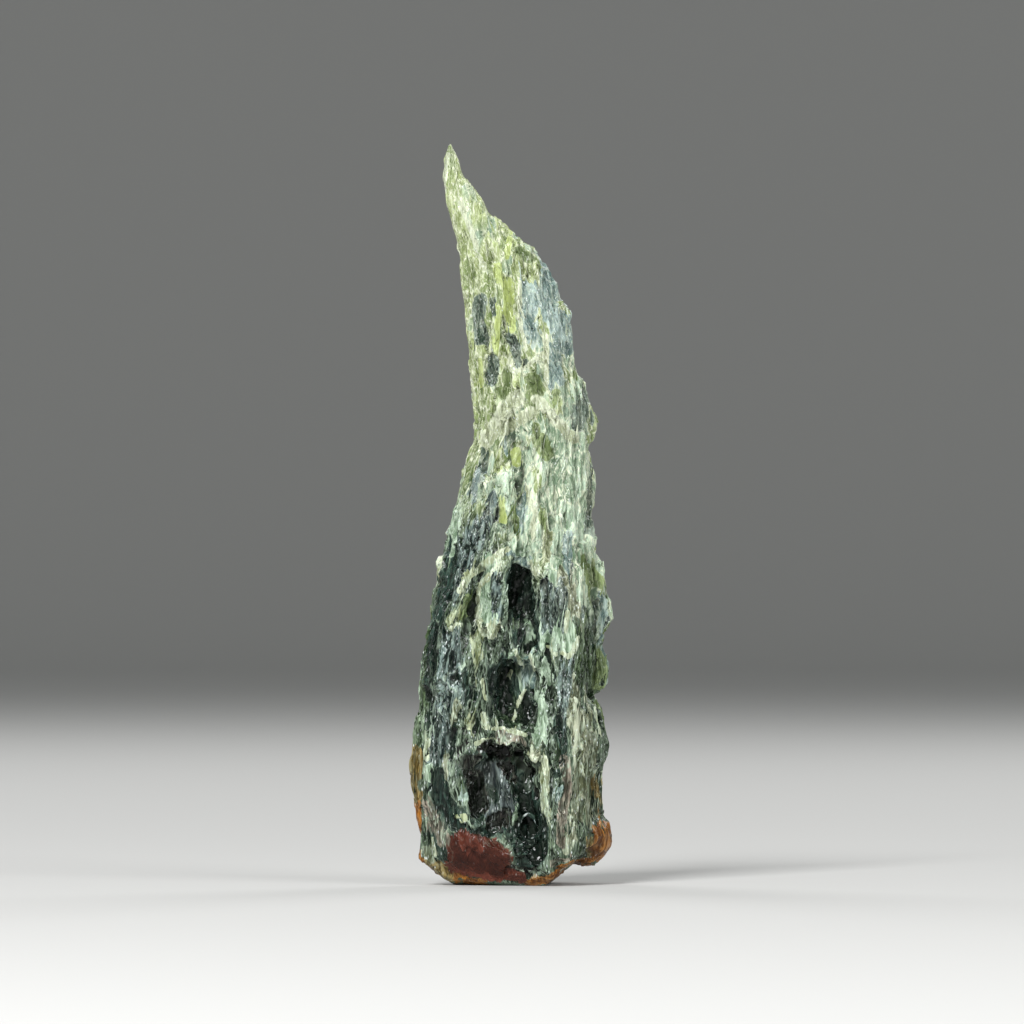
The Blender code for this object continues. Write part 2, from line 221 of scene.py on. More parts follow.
# %% [markdown]
# ## Where each kind of mineral lies
#
# The stone isn't one green. There are dark glassy laths, yellow-green ones that let light through, cream knots where
# splinters cross, steel-grey fibrous patches, and iron stain at the foot. Each kind is drawn as a few strokes in
# millimetres, like brush strokes on the front: a half width and the points the stroke passes. What is stored at each
# point isn't a colour but how far inside a stroke it is, so that the shader can still fray the border into fibres.

# %% Draw the strokes of the front
STROKES = {  # half width, then places across and up
    # murk: dark mineral, and in the front hollows a painted shade laid under the other kinds
    "murk_and_shade": (
        (4.8, ((-4, 18.3), (-2.4, 14), (0, 12))), (2.7, ((2.7, 9), (2.5, 5))), (3, ((-1, 34), (-0.5, 28.5))),
        (2, ((0.8, 49.5), (0.8, 44), (2.6, 39))), (1.3, ((-13.6, 41), (-14.4, 33), (-14.6, 27))),
        (2.2, ((-11, 25), (-12, 21))), (1.2, ((7.2, 27), (7.4, 19))),
        (1.6, ((-8.6, 33), (-7.4, 31))), (1, ((-10, 9.6), (-4, 9))),
        (1.7, ((-12.4, 19), (-11.6, 14), (-9.6, 11.5))), (1.1, ((-12.6, 10), (-11.6, 5))),
    ),
    "mint": (
        (4, ((7.5, 71.6), (9.4, 55.5), (8.3, 47))), (2.4, ((0.6, 66), (2.2, 54))), (1, ((-9, 60), (-10.3, 55.5))),
        (1.5, ((-3.6, 51.5), (-4.5, 46), (-3.5, 42))), (0.4, ((-0.8, 43.5), (-1.2, 41.5))),
        (0.3, ((2, 46.5), (1.6, 42))), (0.4, ((2.6, 42.5), (2.2, 38.5))),
        (1.5, ((0.6, 37.2), (2, 35.4), (2, 33.4))), (1.4, ((4.5, 40.5), (7, 38.7), (9.5, 40))),
        (0.9, ((5.3, 35), (5.2, 32))), (1.2, ((4.1, 30), (4.2, 24))), (0.7, ((-13.8, 19), (-13.5, 17))),
        (0.6, ((4, 15.4), (3.9, 15))), (0.9, ((11, 82), (10.5, 78.5))), (1.4, ((-0.3, 75), (1, 74.4))),
        (0.7, ((0.3, 13), (0.2, 10.8))), (0.8, ((-8.8, 36), (-8.7, 35))),
    ),
    "sage": (
        (2, ((11.2, 26), (11.6, 18), (11, 11))), (1, ((9.6, 33), (9.6, 26))), (0.5, ((-11, 20), (-10.6, 16))),
        (0.9, ((-13.6, 6.2), (-13, 4.6))), (0.8, ((9.5, 8), (8.5, 6))), (0.8, ((3.3, 23), (4, 22))),
        (0.8, ((-9, 28.5), (-9.5, 26.5))), (1.2, ((8.6, 50), (9.6, 44))),
    ),
    "silver": (
        (1.1, ((1.6, 96.5), (2.2, 92), (3, 89), (3.9, 87))), (0.8, ((3.5, 96), (3.4, 92.5))),
        (1.4, ((5.5, 97.5), (6, 91), (6.8, 89))), (1, ((8, 92), (8.5, 88), (8.2, 86))),
        (1.1, ((6.8, 86.4), (6.7, 83), (7, 80.4))), (0.9, ((0, 52.6), (2.4, 51.2))),
        (0.8, ((8.5, 56), (8.6, 52))), (0.8, ((8.3, 34), (7.9, 28.5))), (1.1, ((0.9, 37), (2.2, 35.4), (2.5, 33))),
        (1.3, ((14.6, 46), (15, 42))), (0.6, ((-8.5, 14.5), (-7, 13.3))), (0.7, ((7.3, 15.8), (7, 14))),
        (0.6, ((-1.4, 71), (-1.3, 70.4))), (0.8, ((1.8, 62), (1, 58))),
    ),
    "slate": (
        (0.75, ((-0.8, 88.2), (-0.3, 87.4))), (0.75, ((0.2, 86.5), (0.6, 84.3))), (0.6, ((1, 83.2), (1.8, 84))),
        (1, ((-3.3, 84.5), (-3.5, 81.3))), (1.2, ((-5.3, 94), (-5.8, 90), (-5.4, 88))),
        (0.45, ((-4.6, 87.5), (-4.4, 87.3))), (0.6, ((-3.3, 94), (-3.2, 92))), (1.3, ((11, 77), (10.8, 74))),
        (0.6, ((13, 76), (13, 74.4))), (0.6, ((-4.7, 72), (-4.9, 69), (-5.6, 65))), (0.7, ((12.3, 60), (12, 57))),
        (0.8, ((13.6, 45), (12.4, 42.4))), (0.6, ((12.6, 65), (12.4, 61))),
    ),
    "steel": (
        (1.9, ((-4, 58.4), (-6.6, 55), (-9, 51), (-10, 47.6))), (0.8, ((5, 49), (5, 42))),
        (1.5, ((7.1, 48), (7, 42))), (0.5, ((9.5, 52), (9.3, 50))), (2, ((-10, 39), (-10.5, 35), (-9.7, 31))),
        (1.6, ((-11.6, 29), (-12, 24), (-12.4, 21))), (1, ((8.3, 35.5), (8, 31), (7.6, 26))),
        (0.6, ((2.7, 13), (2.4, 12.7))), (0.9, ((2.9, 17.6), (2, 16.3))), (0.7, ((11.3, 44), (11.5, 42))),
        (0.8, ((-2.6, 49.6), (-2.8, 45))), (1, ((-3.4, 62), (-4.6, 60))), (0.8, ((-5.2, 67), (-6.6, 63.4))),
    ),
    "glass": (
        (1.7, ((-3.5, 18.5), (-2, 15.5), (-1, 13.5))), (0.9, ((-4.6, 13), (-3.6, 11.6))),
    ),
    "olive": (
        (1.6, ((11.5, 41), (12, 37), (11.5, 33))), (1.5, ((-13.9, 43), (-14.9, 36), (-15.5, 28), (-15.9, 24))),
        (0.5, ((0.7, 43), (0.4, 41))), (0.45, ((-7, 42.6), (-6.2, 44.2))),
        (0.8, ((5.5, 7.6), (5, 5))), (0.9, ((10.8, 7), (11, 9))), (0.5, ((6.8, 22.5), (6.5, 20))),
        (0.8, ((-8, 17), (-7.9, 16.4))), (0.6, ((12.8, 48.6), (12.6, 48.2))),
    ),
    "forest": (
        (2.3, ((-2.2, 28.8), (0, 27.2))), (1.4, ((2, 29), (2.2, 25.8))),
    ),
    "moss": (
        (1.2, ((11.8, 53), (12.1, 51), (13.5, 48.8), (15, 48.6))), (0.9, ((14.3, 38), (14.5, 35), (13, 32.5))),
        (1.25, ((4.2, 71.5), (5.3, 69.5))), (0.7, ((3.6, 73.8), (3.8, 73.2))), (0.6, ((3, 78), (3.4, 76.8))),
        (1.35, ((3.2, 81.0), (3.7, 79.6))), (0.5, ((-1, 82.5), (-1, 80.5))), (0.7, ((-2.4, 79.5), (-1.7, 78.7))),
        (0.9, ((1, 102), (2.5, 101))), (0.7, ((6.8, 79), (6.5, 77.5))), (0.6, ((4.7, 60), (4.8, 57.5))),
        (0.5, ((0.2, 61), (0.5, 57))), (0.8, ((-8.2, 43.2), (-7, 46))),
    ),
    "gold": (
        (0.85, ((-0.9, 97), (-0.7, 92), (-0.3, 89.5))), (0.8, ((-2.6, 99.5), (-2.4, 97.5))),
        (0.6, ((-2.2, 92.5), (-2.8, 88), (-3, 86.3))), (0.5, ((-5.3, 84), (-5.3, 80.5))),
        (0.8, ((0.3, 69.5), (0.5, 68))), (0.6, ((-1.9, 62), (-1.6, 58.6))), (0.5, ((-0.6, 104), (-1, 101))),
    ),
    "straw": (
        (0.7, ((-7.9, 49.4), (-6.8, 50.6))), (0.8, ((-10.2, 42.6), (-8.6, 44.6))),
        (0.6, ((-5.3, 40.5), (-6, 38), (-5.6, 36))), (0.6, ((-9.3, 11.7), (-8.2, 11.1))),
        (0.6, ((-7.1, 27), (-6.8, 25))), (0.8, ((5.6, 57), (5.4, 52))), (0.45, ((4.9, 19.6), (5.2, 16.8), (4.9, 14))),
    ),
    "cream": (
        (0.42, ((4.9, 88.5), (5.2, 85.5), (3.5, 84.5), (2, 83.3), (0.3, 82.6), (-0.5, 83.5))),
        (0.42, ((5.3, 88), (5.3, 80.5))), (0.36, ((0.9, 97), (1, 90.5), (1.6, 88), (1.9, 86))),
        (0.42, ((-1.5, 85.5), (-0.2, 84))), (1.3, ((-4.4, 71.6), (-2.2, 74.8), (0.4, 78.3))),
        (0.9, ((-1.7, 72.9), (3, 76.1))), (0.5, ((-11.9, 52.5), (-12.1, 49.5))),
        (0.6, ((-1, 54), (-3.5, 52.6), (-6.5, 50.2), (-8.5, 47.6))),
        (0.42, ((-2, 52), (-5.6, 48), (-5.9, 44), (-4.8, 40.5), (-3.4, 39.9), (-2.2, 42))),
        (0.8, ((-3.8, 41.4), (-3.4, 40.4))), (0.3, ((-10.2, 41.2), (-9.4, 41.9), (-8.2, 41.8))),
        (0.45, ((2.6, 52), (3.6, 50))),
        (0.34, ((5.4, 38.4), (6.6, 37.2), (7.6, 37.4), (8.8, 36.7), (9.6, 38), (10.3, 40))),
        (0.24, ((-0.2, 34.6), (-1.5, 31.5), (-2, 29.4))), (0.4, ((0.2, 37.8), (1.5, 35.2))),
        (0.34, ((2.6, 36.8), (3.3, 34.4))), (0.26, ((1.8, 31.6), (0.5, 28.5), (0, 26.5))),
        (0.4, ((-4.9, 33), (-4.5, 30))),
        (0.5, ((-4.8, 27.6), (-4.4, 25.6))), (0.38, ((-4.4, 25.6), (-3, 25.3), (0, 25), (2, 24.3))),
        (0.4, ((-6, 23), (-4.5, 23.4), (-0.5, 23.1), (0.6, 23.4), (2.3, 21.2), (3.5, 20.6), (4.8, 20.5))),
        (0.5, ((4.8, 20.5), (5.4, 18), (4.9, 14), (5.6, 11))), (0.24, ((13.2, 28.5), (13.9, 24))),
        (0.8, ((3.6, 78.3), (6.8, 74.8), (9.7, 71.6))), (0.42, ((-14, 23.5), (-14.2, 20.5))),
        (0.42, ((2.2, 64), (3.4, 60), (3, 56))), (0.4, ((8.6, 44), (8.4, 41))), (0.5, ((-10.7, 118), (-11.3, 113))),
        (0.42, ((-8.6, 110), (-6.4, 104), (-4.8, 99))),
    ),
    "dark": (
        (1.2, ((-9.8, 54), (-10.6, 50), (-11.6, 46), (-13, 41.5), (-13.6, 36), (-13.9, 31))),
        (1.6, ((1.1, 50), (0.4, 47.5), (0.8, 45.6))), (0.4, ((-1.8, 45), (-2.2, 43))),
        (0.7, ((2.6, 47), (3, 44), (3.4, 40), (3, 38))), (0.35, ((1.4, 44), (1.1, 40))),
        (0.5, ((-12.3, 39), (-12.5, 33))), (0.7, ((-9, 33.4), (-6.6, 32.6))),
        (1.6, ((-3, 35), (-2.2, 32), (-1.4, 30))), (0.5, ((2.6, 32), (3, 31))), (1, ((2.5, 29.8), (2.2, 27))),
        (0.6, ((-1.5, 37.5), (-1.2, 35.6))), (1.2, ((-2.8, 30), (-2.7, 29.4))),
        (0.5, ((4.5, 36.8), (6, 36), (6.8, 34.6))), (0.7, ((6.9, 28), (7.2, 23), (7.6, 19.5))),
        (2.5, ((2.7, 9.6), (2.9, 7), (3, 4.2))), (1.3, ((2.7, 13.2), (2.7, 9))),
        (1.4, ((-6.6, 17.5), (-6, 12.5))), (1.2, ((-12.4, 18), (-11.8, 13), (-10.2, 10.6))),
        (1.2, ((1.4, 19), (1.8, 15.4))), (0.8, ((-1, 9.6), (-3, 8.8))),
        (0.5, ((-10.3, 10.2), (-6, 9.8), (-3, 9))), (0.4, ((-7.6, 53.6), (-5.6, 55.4))),
        (0.35, ((3.6, 47), (3.4, 44))),
    ),
    "umber": (
        (1.2, ((-4.5, 22), (1, 22))), (1.6, ((-7, 20), (-6, 17), (-5.5, 13))), (1, ((2, 19.5), (3, 18.6))),
        (0.8, ((-7.4, 23.2), (-9, 22))), (0.9, ((-1.6, 19.6), (0.6, 17))), (1.2, ((-3.4, 10.6), (-1, 11.4))),
        (0.8, ((3.6, 15.4), (3.8, 14))), (0.8, ((-0.5, 2.6), (3, 2.2))),
    ),
    "ochre": (
        (1, ((-16.6, 22), (-16.8, 17), (-16, 14))), (0.7, ((-15.5, 21), (-15.3, 17.5))),
        (1.2, ((-14.6, 3.6), (-12, 2.4), (-10.5, 1.9))),
        (0.8, ((12.6, 7), (12.5, 5.4))), (0.5, ((13.2, 17), (13.9, 12.6))),
    ),
    "rust": (
        (1.6, ((14.3, 9), (14.9, 6.5), (14, 5))),
        (0.6, ((-9, 1.4), (-4.5, 0.5))), (0.8, ((2.5, 0.5), (6.5, 1.4), (9, 2.6))), (0.9, ((8.5, 2.2), (12, 3.7))),
        (0.6, ((-15.9, 13), (-15.2, 9), (-15.4, 7), (-14.8, 3.4), (-12.6, 1.6))), (1.3, ((-4.4, 6), (-2.6, 4.6))),
    ),
    "rose": (
        (2.2, ((-8.5, 6.6), (-5, 6.2), (-2.6, 4.4))), (2, ((-9, 3.8), (-3, 2.8))), (0.8, ((-3, 2.4), (1.4, 1.1))),
    ),
    "blush": (
        (1.1, ((-14, 13), (-12.6, 10), (-11, 7.5))), (0.8, ((8.2, 19.5), (8.8, 16), (8.2, 12), (7.6, 7))),
        (0.7, ((-2.5, 24.2), (0, 24.2), (1.3, 23.3))), (0.5, ((6.4, 3.6), (9, 4.2))),
    ),
}
print("strokes:", sum(len(strokes) for strokes in STROKES.values()), "of", len(STROKES), "kinds")

# %% [markdown]
# ## From strokes to masks
#
# A stroke turns into a mask by measuring how far each point lies from its middle line. The places are pushed about
# first, because no border in the stone is smooth. Fraying pushes them a little in all directions. Spikes push them
# along the grain, so that dark and steely kinds end in long points, as broken laths do. Where the stone turns to its
# sides the strokes slant, or else they would go on round it as level bands. They stop short of the back. Only the
# iron stain goes all round the foot.

# %% Measure the strokes
ALL_ROUND = ("rust", "ochre")
SPIKY = ("murk_and_shade", "dark", "forest", "steel", "silver", "mint", "straw", "sage")
EVEN = ("rose", "gold", "cream", "moss", "slate")
EVEN_SHARE = 0.3  # of the fraying
FRAY = (0.75, 1.2)  # across and up, in millimetres
SPIKES = 2.0
SLANT = 16.0


def path_distance(x, z, path):
    """How far each place on the front lies from a line of points."""
    nearest = np.full(len(x), np.inf)
    for (x0, z0), (x1, z1) in zip(path, path[1:]):
        run, lift = x1 - x0, z1 - z0
        share = np.clip(((x - x0) * run + (z - z0) * lift) / (run * run + lift * lift), 0.0, 1.0)
        nearest = np.minimum(nearest, np.hypot(x - x0 - share * run, z - z0 - share * lift))
    return nearest


def stroke_field(strokes, x, z):
    """1 on the middle line of a stroke, 0.5 at its border and 0 well outside."""
    field = np.zeros(len(x))
    for half_width, path in strokes:
        field = np.maximum(field, 1.0 - path_distance(x, z, path) / (2.0 * half_width))
    return field


facing_front = -broad_normals[:, 1] + 0.5 * waver(grain, (2.5, 2.5, 9.0), 61.0)
on_front = between(-0.45, -0.05, facing_front)
spikes = SPIKES * (waver(grain, (1.0, 1.0, 6.5), 90.0) + 0.5 * waver(grain, (0.6, 2.0, 3.0), 97.0))
spikes *= between(0.35, 0.75, np.abs(broad_normals[:, 1])) * between(2.0, 8.0, points[:, 2])
spikes *= between(117.0, 104.0, points[:, 2])
points[:, 2] += spikes
grain = straightened(points)
slant = SLANT * waver(grain, (40.0, 5.0, 40.0), 33.0) * between(0.55, 0.15, -broad_normals[:, 1])
frayed_x = points[:, 0] + FRAY[0] * (waver(grain, (2.2, 2.2, 3.4), 20.0) + 0.5 * waver(grain, (0.9, 0.9, 1.4), 23.0))
frayed_z = points[:, 2] + FRAY[1] * (waver(grain, (1.9, 1.9, 3.0), 50.0) + 0.5 * waver(grain, (0.8, 0.8, 1.6), 53.0))
fields = {}
for name, strokes in STROKES.items():
    share = EVEN_SHARE if name in EVEN else 1.0
    across = points[:, 0] + share * (frayed_x - points[:, 0])
    up = points[:, 2] + share * (frayed_z - points[:, 2]) - (spikes if name in SPIKY else 0.0)
    up = up + (slant if name not in ALL_ROUND else 0.0)
    fields[name] = stroke_field(strokes, across, up) * (1.0 if name in ALL_ROUND else on_front)
print("share of the skin inside strokes:", {name: round(float((f > 0.5).mean()), 3) for name, f in fields.items()})

# %% [markdown]
# ## The sides and the back
#
# The photo shows the front alone. The other sides get the same kinds of mineral from stretched noise: a patch shows
# where the noise passes a level, and each kind keeps to the heights where it is found on the front.

# %% Grow patches on the sides and the back
WILD = {  # level the noise has to pass, lowest and highest place
    "mint": (0.02, 40.0, 90.0),
    "sage": (0.12, 4.0, 40.0),
    "silver": (0.16, 40.0, 100.0),
    "slate": (0.24, 40.0, 96.0),
    "murk_and_shade": (0.10, 4.0, 60.0),
    "steel": (0.10, 12.0, 60.0),
    "olive": (0.20, 5.0, 50.0),
    "moss": (0.33, 30.0, 100.0),
    "gold": (0.34, 60.0, 112.0),
    "straw": (0.34, 8.0, 60.0),
    "cream": (0.24, 30.0, 116.0),
    "dark": (0.17, 8.0, 66.0),
    "umber": (0.24, 2.0, 26.0),
    "ochre": (0.25, -5.0, 16.0),
    "rust": (0.24, -5.0, 8.0),
    "rose": (0.26, 0.0, 14.0),
}
PATCH_SIZE = (4.2, 4.2, 15.0)
PATCH_STEEPNESS = 1.7
HEIGHT_FADE = 0.04  # how much harder the level is to pass for each millimetre outside a kind's heights

for seed, (name, (level, low, high)) in enumerate(WILD.items()):
    too_far = np.maximum(low - points[:, 2], points[:, 2] - high).clip(0.0, None)
    patch = 0.5 + PATCH_STEEPNESS * (waver(grain, PATCH_SIZE, 7.0 * seed + 3.3) - level - HEIGHT_FADE * too_far)
    fields[name] = np.maximum(fields[name], np.clip(patch, 0.0, 1.0) * (1.0 - on_front))
print("share of the whole skin:", {name: round(float((f > 0.5).mean()), 3) for name, f in fields.items()})

# %% [markdown]
# ## The relief
#
# The relief of the laths is laid on along the direction in which the skin faces. It is bolder in the hollows and
# calmer on kinds that break smooth, and it fades out towards the foot and the point. Some kinds also lie a step lower
# or higher than their surroundings: dark windows are chipped in, and cream veins stand out.

# %% Lay on the relief
FAR_ROUNDS = 90
FOOT_FADE = (0.3, 1.6)
SMOOTH_KINDS = {"rose": 0.75, "rust": 0.5, "gold": 0.5, "glass": 0.4, "dark": 0.3}  # share of the relief they lose
STEPS = {"umber": -0.5, "murk_and_shade": -0.3, "dark": -0.35, "forest": -0.2, "glass": -0.1, "cream": 0.13, "slate": -0.15}

far = averaged(points, FAR_ROUNDS)
sunken = ((far - points) * broad_normals).sum(axis=1)
relief *= 1.0 + 1.6 * between(0.25, 0.9, sunken)
calm = 1.0
for name, smoothness in SMOOTH_KINDS.items():
    calm *= 1.0 - smoothness * between(0.4, 0.6, fields[name])
relief *= calm
for name, step in STEPS.items():
    relief += step * between(0.46, 0.56, fields[name])
normals = facing(points)
finer_above = np.clip(0.25 + (118.0 - points[:, 2]) / 26.0, 0.25, 1.0)
relief *= between(*FOOT_FADE, points[:, 2]) * finer_above
points = points + normals * relief[:, None]
points[:, 2] = points[:, 2].clip(0.0, None)
print("relief laid on, mm: from", round(relief.min(), 2), "to", round(relief.max(), 2))

# %% [markdown]
# ## Hollows and rims
#
# Chipped edges of the stone are crushed and full of air, so they look pale, and the shader also paints rims paler as
# a highlight. Hollows get painted shade, where little light comes back. Both follow from the shape: compare each point
# with the mean of its surroundings. A point that lies under that mean is in a hollow, and one above it is on a rim.
# Short range finds the fibres, long range the windows.

# %% Measure hollows and rims
NEAR_ROUNDS = 4
SOFT_ROUNDS = 20
FULL_HOLLOW = 0.07  # millimetres under the near mean that count as a full hollow
FULL_DEPTH = 0.9  # the same for the far mean

normals = facing(points)
near = averaged(points, NEAR_ROUNDS)
far = averaged(points, FAR_ROUNDS)
hollow = np.clip(((near - points) * normals).sum(axis=1) / FULL_HOLLOW, -1.0, 1.0)
deep = np.clip(((far - points) * averaged(normals, SOFT_ROUNDS)).sum(axis=1) / FULL_DEPTH, -1.0, 1.0)
# The rose facet loses its painted shade and highlight, and pale flakes lose most of the deep-place painted shade.
smooth_rose = 1.0 - between(0.35, 0.55, fields["rose"])
flakes = between(0.45, 0.6, np.maximum(fields["silver"], fields["cream"]))
hollow, deep = hollow * smooth_rose, deep * smooth_rose * (1.0 - 0.7 * flakes)
print("rims:", round(float((hollow < -0.3).mean()), 3), "hollows:", round(float((hollow > 0.3).mean()), 3))

# %% [markdown]
# ## Masks on the mesh
#
# A shader can read any number that is stored on the mesh under a name. So the straightened places, the tones, the
# hollows and the field of every kind go onto the vertices. Two more are made here: where the stone turns pale, and
# where its pale green leans to mint.

# %% Put the skin and its masks back on the mesh
PALE_HEIGHTS = (38.0, 70.0)
MINT_HEIGHTS = (84.0, 66.0)


def store(mesh, name, values):
    """Keeps one number or one vector a vertex under a name that a shader can read."""
    vector = values.ndim == 2
    layer = mesh.attributes.new(name, "FLOAT_VECTOR" if vector else "FLOAT", "POINT")
    layer.data.foreach_set("vector" if vector else "value", values.astype(np.float32).ravel())


stone.data.vertices.foreach_set("co", (points * MM).ravel())
stone.data.update()
stone.data.shade_smooth()
surface_masks = {
    "grain": grain, "hollow": hollow, "deep": deep, "lath_tone": tones["laths"] - 0.5,
    "fibre_tone": tones["fibres"] - 0.5, "pale": between(*PALE_HEIGHTS, points[:, 2] + 0.9 * points[:, 0]),
    "minty": (0.5 * between(*MINT_HEIGHTS, points[:, 2]) + 0.03 * points[:, 0]
              + 0.8 * waver(grain, (4.0, 4.0, 8.0), 70.0)),
}
surface_masks.update(fields)
for name, values in surface_masks.items():
    store(stone.data, name, values)
print("masks on the skin:", ", ".join(surface_masks))

# %% [markdown]
# ## Thin out the skin
#
# The even skin has more triangles than a piece may carry. The Decimate modifier takes them away where the surface is
# flat and keeps them on the fibres. It blends the stored masks as it merges vertices, so it comes after them.

# %% Thin out the skin
TRIANGLE_LIMIT = 195000  # a little under the 200,000 that one piece may have
thinner = stone.modifiers.new("thinner", "DECIMATE")
thinner.ratio = TRIANGLE_LIMIT / (2 * len(quads))
thinned = bpy.data.meshes.new_from_object(stone.evaluated_get(bpy.context.evaluated_depsgraph_get()))
stone.modifiers.remove(thinner)
thinned.name = "stone_surface"
stone.data = thinned
stone.data.shade_smooth()
stone.data.calc_loop_triangles()
print("skin after thinning:", len(stone.data.vertices), "points,", len(stone.data.loop_triangles), "triangles")

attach(stone, "root")
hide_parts(STONE)

# %% [markdown]
# ## Loose splinters
#
# Thousands of thin slivers lie in the grain, half bedded in the stone, and give it its splintery glitter. Hair or
# particles would be lost in an export, so each sliver is real mesh: a flat strip of four-sided rings that tapers to
# both ends. It follows its fibre, and each ring is set down on the nearest place of the skin. A sliver takes the
# masks of the one point where it is rooted, so borders between the kinds of mineral break up fibre by fibre. Smooth
# spots and hollows get few.

# %% Choose where splinters lie
SPLINTERS = 3500
SMOOTH_SPOTS = ("dark", "umber", "rose", "rust")
rng = np.random.default_rng(41)

covered = np.max([between(0.42, 0.6, fields[name]) for name in SMOOTH_SPOTS], axis=0)
chance = 0.10 + 0.9 * (1.0 - covered)
chance *= (between(0.5, 0.3, fields["rose"]) * between(1.2, 4.0, points[:, 2])
           * between(0.0, 6.0, 117.0 - points[:, 2]))
chance *= (1.0 - 0.8 * between(0.1, 0.6, deep)) * (1.0 - 0.45 * surface_masks["pale"])
roots = rng.choice(len(points), SPLINTERS, replace=False, p=chance / chance.sum())
print("places for splinters:", len(roots), "chosen from", int((chance > 0.0).sum()))

# %% [markdown]
# ## Laying a splinter down
#
# A splinter is walked from its lower end to its upper one, ring by ring, and each ring looks for the nearest place of
# the skin. Where the skin is too far away, or the next ring would land too far from the last one, the splinter would
# bridge a dent or leap to another face. Such a splinter is left out.

# %% Lay them down
RINGS = 6
REACH = 0.6  # farthest a ring may be from the skin
STRIDE = 1.6  # longest step between two rings, in parts of the even step
SUNK = 0.10  # how deep its sides go into the stone
LOWEST = 0.05

bed = BVHTree.FromPolygons(points.tolist(), quads.tolist())
bed_normals = averaged(normals, SETTLE_ROUNDS)


def sliver(root):
    """The rings of one splinter: each is four places, from one side over the top to the other and underneath."""
    length = rng.lognormal(1.10, 0.45)
    half_width = rng.lognormal(-2.1, 0.45)
    height = rng.uniform(0.04, 0.14)
    lean = rng.normal(0.0, 0.22)
    lift = max(0.0, rng.normal(-0.1, 0.22)) * min(1.0, points[root, 2] / 12.0) ** 2
    fullness = rng.uniform(0.45, 1.0)
    x, y, z = points[root]
    fibre = grain[root, 0]
    rings, previous = [], None
    for share in np.linspace(0.03, 0.97, RINGS):
        up = z + length * (share - 0.5)
        over = on_fibre(fibre, up) + lean * length * (share - 0.5)
        place, _, face, gap = bed.find_nearest(Vector((over, y, up)))
        if gap > REACH or previous is not None and (place - previous).length > STRIDE * length / RINGS:
            return None
        ahead = Vector((on_fibre(fibre, up + 1.0) + lean - on_fibre(fibre, up), 0.0, 1.0)).normalized()
        out = Vector(bed_normals[quads[face, 0]]).normalized()
        side = ahead.cross(out).normalized()
        taper = (1.0 - abs(2.0 * share - 1.0) ** 2.5) ** fullness
        width, top = half_width * taper, height * taper + lift * share * share
        under = top - height * taper - SUNK
        rings.append((place - side * width + out * under, place - side * width * 0.45 + out * top,
                      place + side * width * 0.55 + out * (top * 0.9), place + side * width + out * under))
        previous, y = place, place.y
    return rings


ring_sides = [(k, (k + 1) % 4) for k in range(4)]
spots, faces, owners, edge_highlight = [], [], [], []
for root in roots:
    rings = sliver(root)
    if rings is None:
        continue
    start = len(spots)
    for ring in rings:
        spots += ring
        edge_highlight += (1.0, 0.35, 0.35, 1.0)
    owners += [root] * (4 * RINGS)
    for r in range(RINGS - 1):
        base = start + 4 * r
        faces += [(base + a, base + 4 + a, base + 4 + b, base + b) for a, b in ring_sides]
    faces += [(start, start + 1, start + 2, start + 3), tuple(start + 4 * RINGS - k for k in (1, 2, 3, 4))]  # ends
spots = np.array(spots)
spots[:, 2] = spots[:, 2].clip(LOWEST, None)
print("laid down:", len(spots) // (4 * RINGS), "splinters,", 2 * len(faces), "triangles")

# %% [markdown]
# ## One piece of many splinters
#
# All the splinters are one mesh, because thousands of objects would be slow to handle. They carry the same masks as
# the skin, apart from three: each has a tone of its own, its edges count as rims and get a painted highlight while its
# top counts as a slight hollow, and its pattern is taken from another place in the grain, so that it doesn't simply go
# on from the skin under it.

# %% Make them one piece
PATTERN_SHIFT = 13.0
sliver_mesh = bpy.data.meshes.new("splinters")
sliver_mesh.from_pydata((spots * MM).tolist(), [], faces)
splinters = bpy.data.objects.new("splinters", sliver_mesh)
bpy.context.scene.collection.objects.link(splinters)

owners = np.array(owners)
own_tone = np.repeat(rng.random(len(spots) // (4 * RINGS)) - 0.5, 4 * RINGS)
sliver_masks = {name: values[owners] for name, values in surface_masks.items()}
sliver_masks["grain"] = straightened(spots) + PATTERN_SHIFT
# Edges get a painted highlight by counting as rims; the top counts as a slight hollow.
sliver_masks["hollow"] = 0.5 - np.array(edge_highlight)
sliver_masks["fibre_tone"] = own_tone
for name, values in sliver_masks.items():
    store(sliver_mesh, name, values)
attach(splinters, "root")

# %% [markdown]
# ## Shader nodes without a mouse
#
# The next cells build node groups, so here are short helpers that add a node and fill its inputs, with a value or a
# link, do arithmetic, mix colours, make a smooth step or draw a line where a value passes a level. A group gets its
# sockets through interface.new_socket.

# %% Helpers for node trees
def fill(tree, node, inputs):
    """Each input, by name or number, takes a value or another node's output."""
    for name, value in dict(inputs).items():
        if isinstance(value, bpy.types.NodeSocket):
            tree.links.new(value, node.inputs[name])
        else:
            node.inputs[name].default_value = value
    return node


def add(tree, kind, inputs=(), **settings):
    """A node with its settings and inputs."""
    node = tree.nodes.new("ShaderNode" + kind)
    for name, value in settings.items():
        setattr(node, name, value)
    return fill(tree, node, inputs)


def calc(tree, operation, a, b=0.0, clamp=False):
    """One step of arithmetic."""
    return add(tree, "Math", {0: a, 1: b}, operation=operation, use_clamp=clamp).outputs[0]


def blend(tree, factor, a, b):
    """Mixes two colours."""
    return add(tree, "Mix", {0: factor, 6: a, 7: b}, data_type="RGBA").outputs[2]


def climb(tree, value, low, high):
    """0 below low, 1 above high and a smooth climb between them, as a node."""
    inputs = {"Value": value, "From Min": low, "From Max": high}
    return add(tree, "MapRange", inputs, interpolation_type="SMOOTHSTEP").outputs[0]


def line_at(tree, value, level, inner, outer):
    """1 where a value passes a level, fading to 0 on both sides."""
    off = calc(tree, "ABSOLUTE", calc(tree, "SUBTRACT", value, level))
    return calc(tree, "SUBTRACT", 1.0, climb(tree, off, inner, outer))


def read(tree, name, output="Fac"):
    """A mask that is stored on the mesh."""
    return add(tree, "Attribute", attribute_name=name).outputs[output]


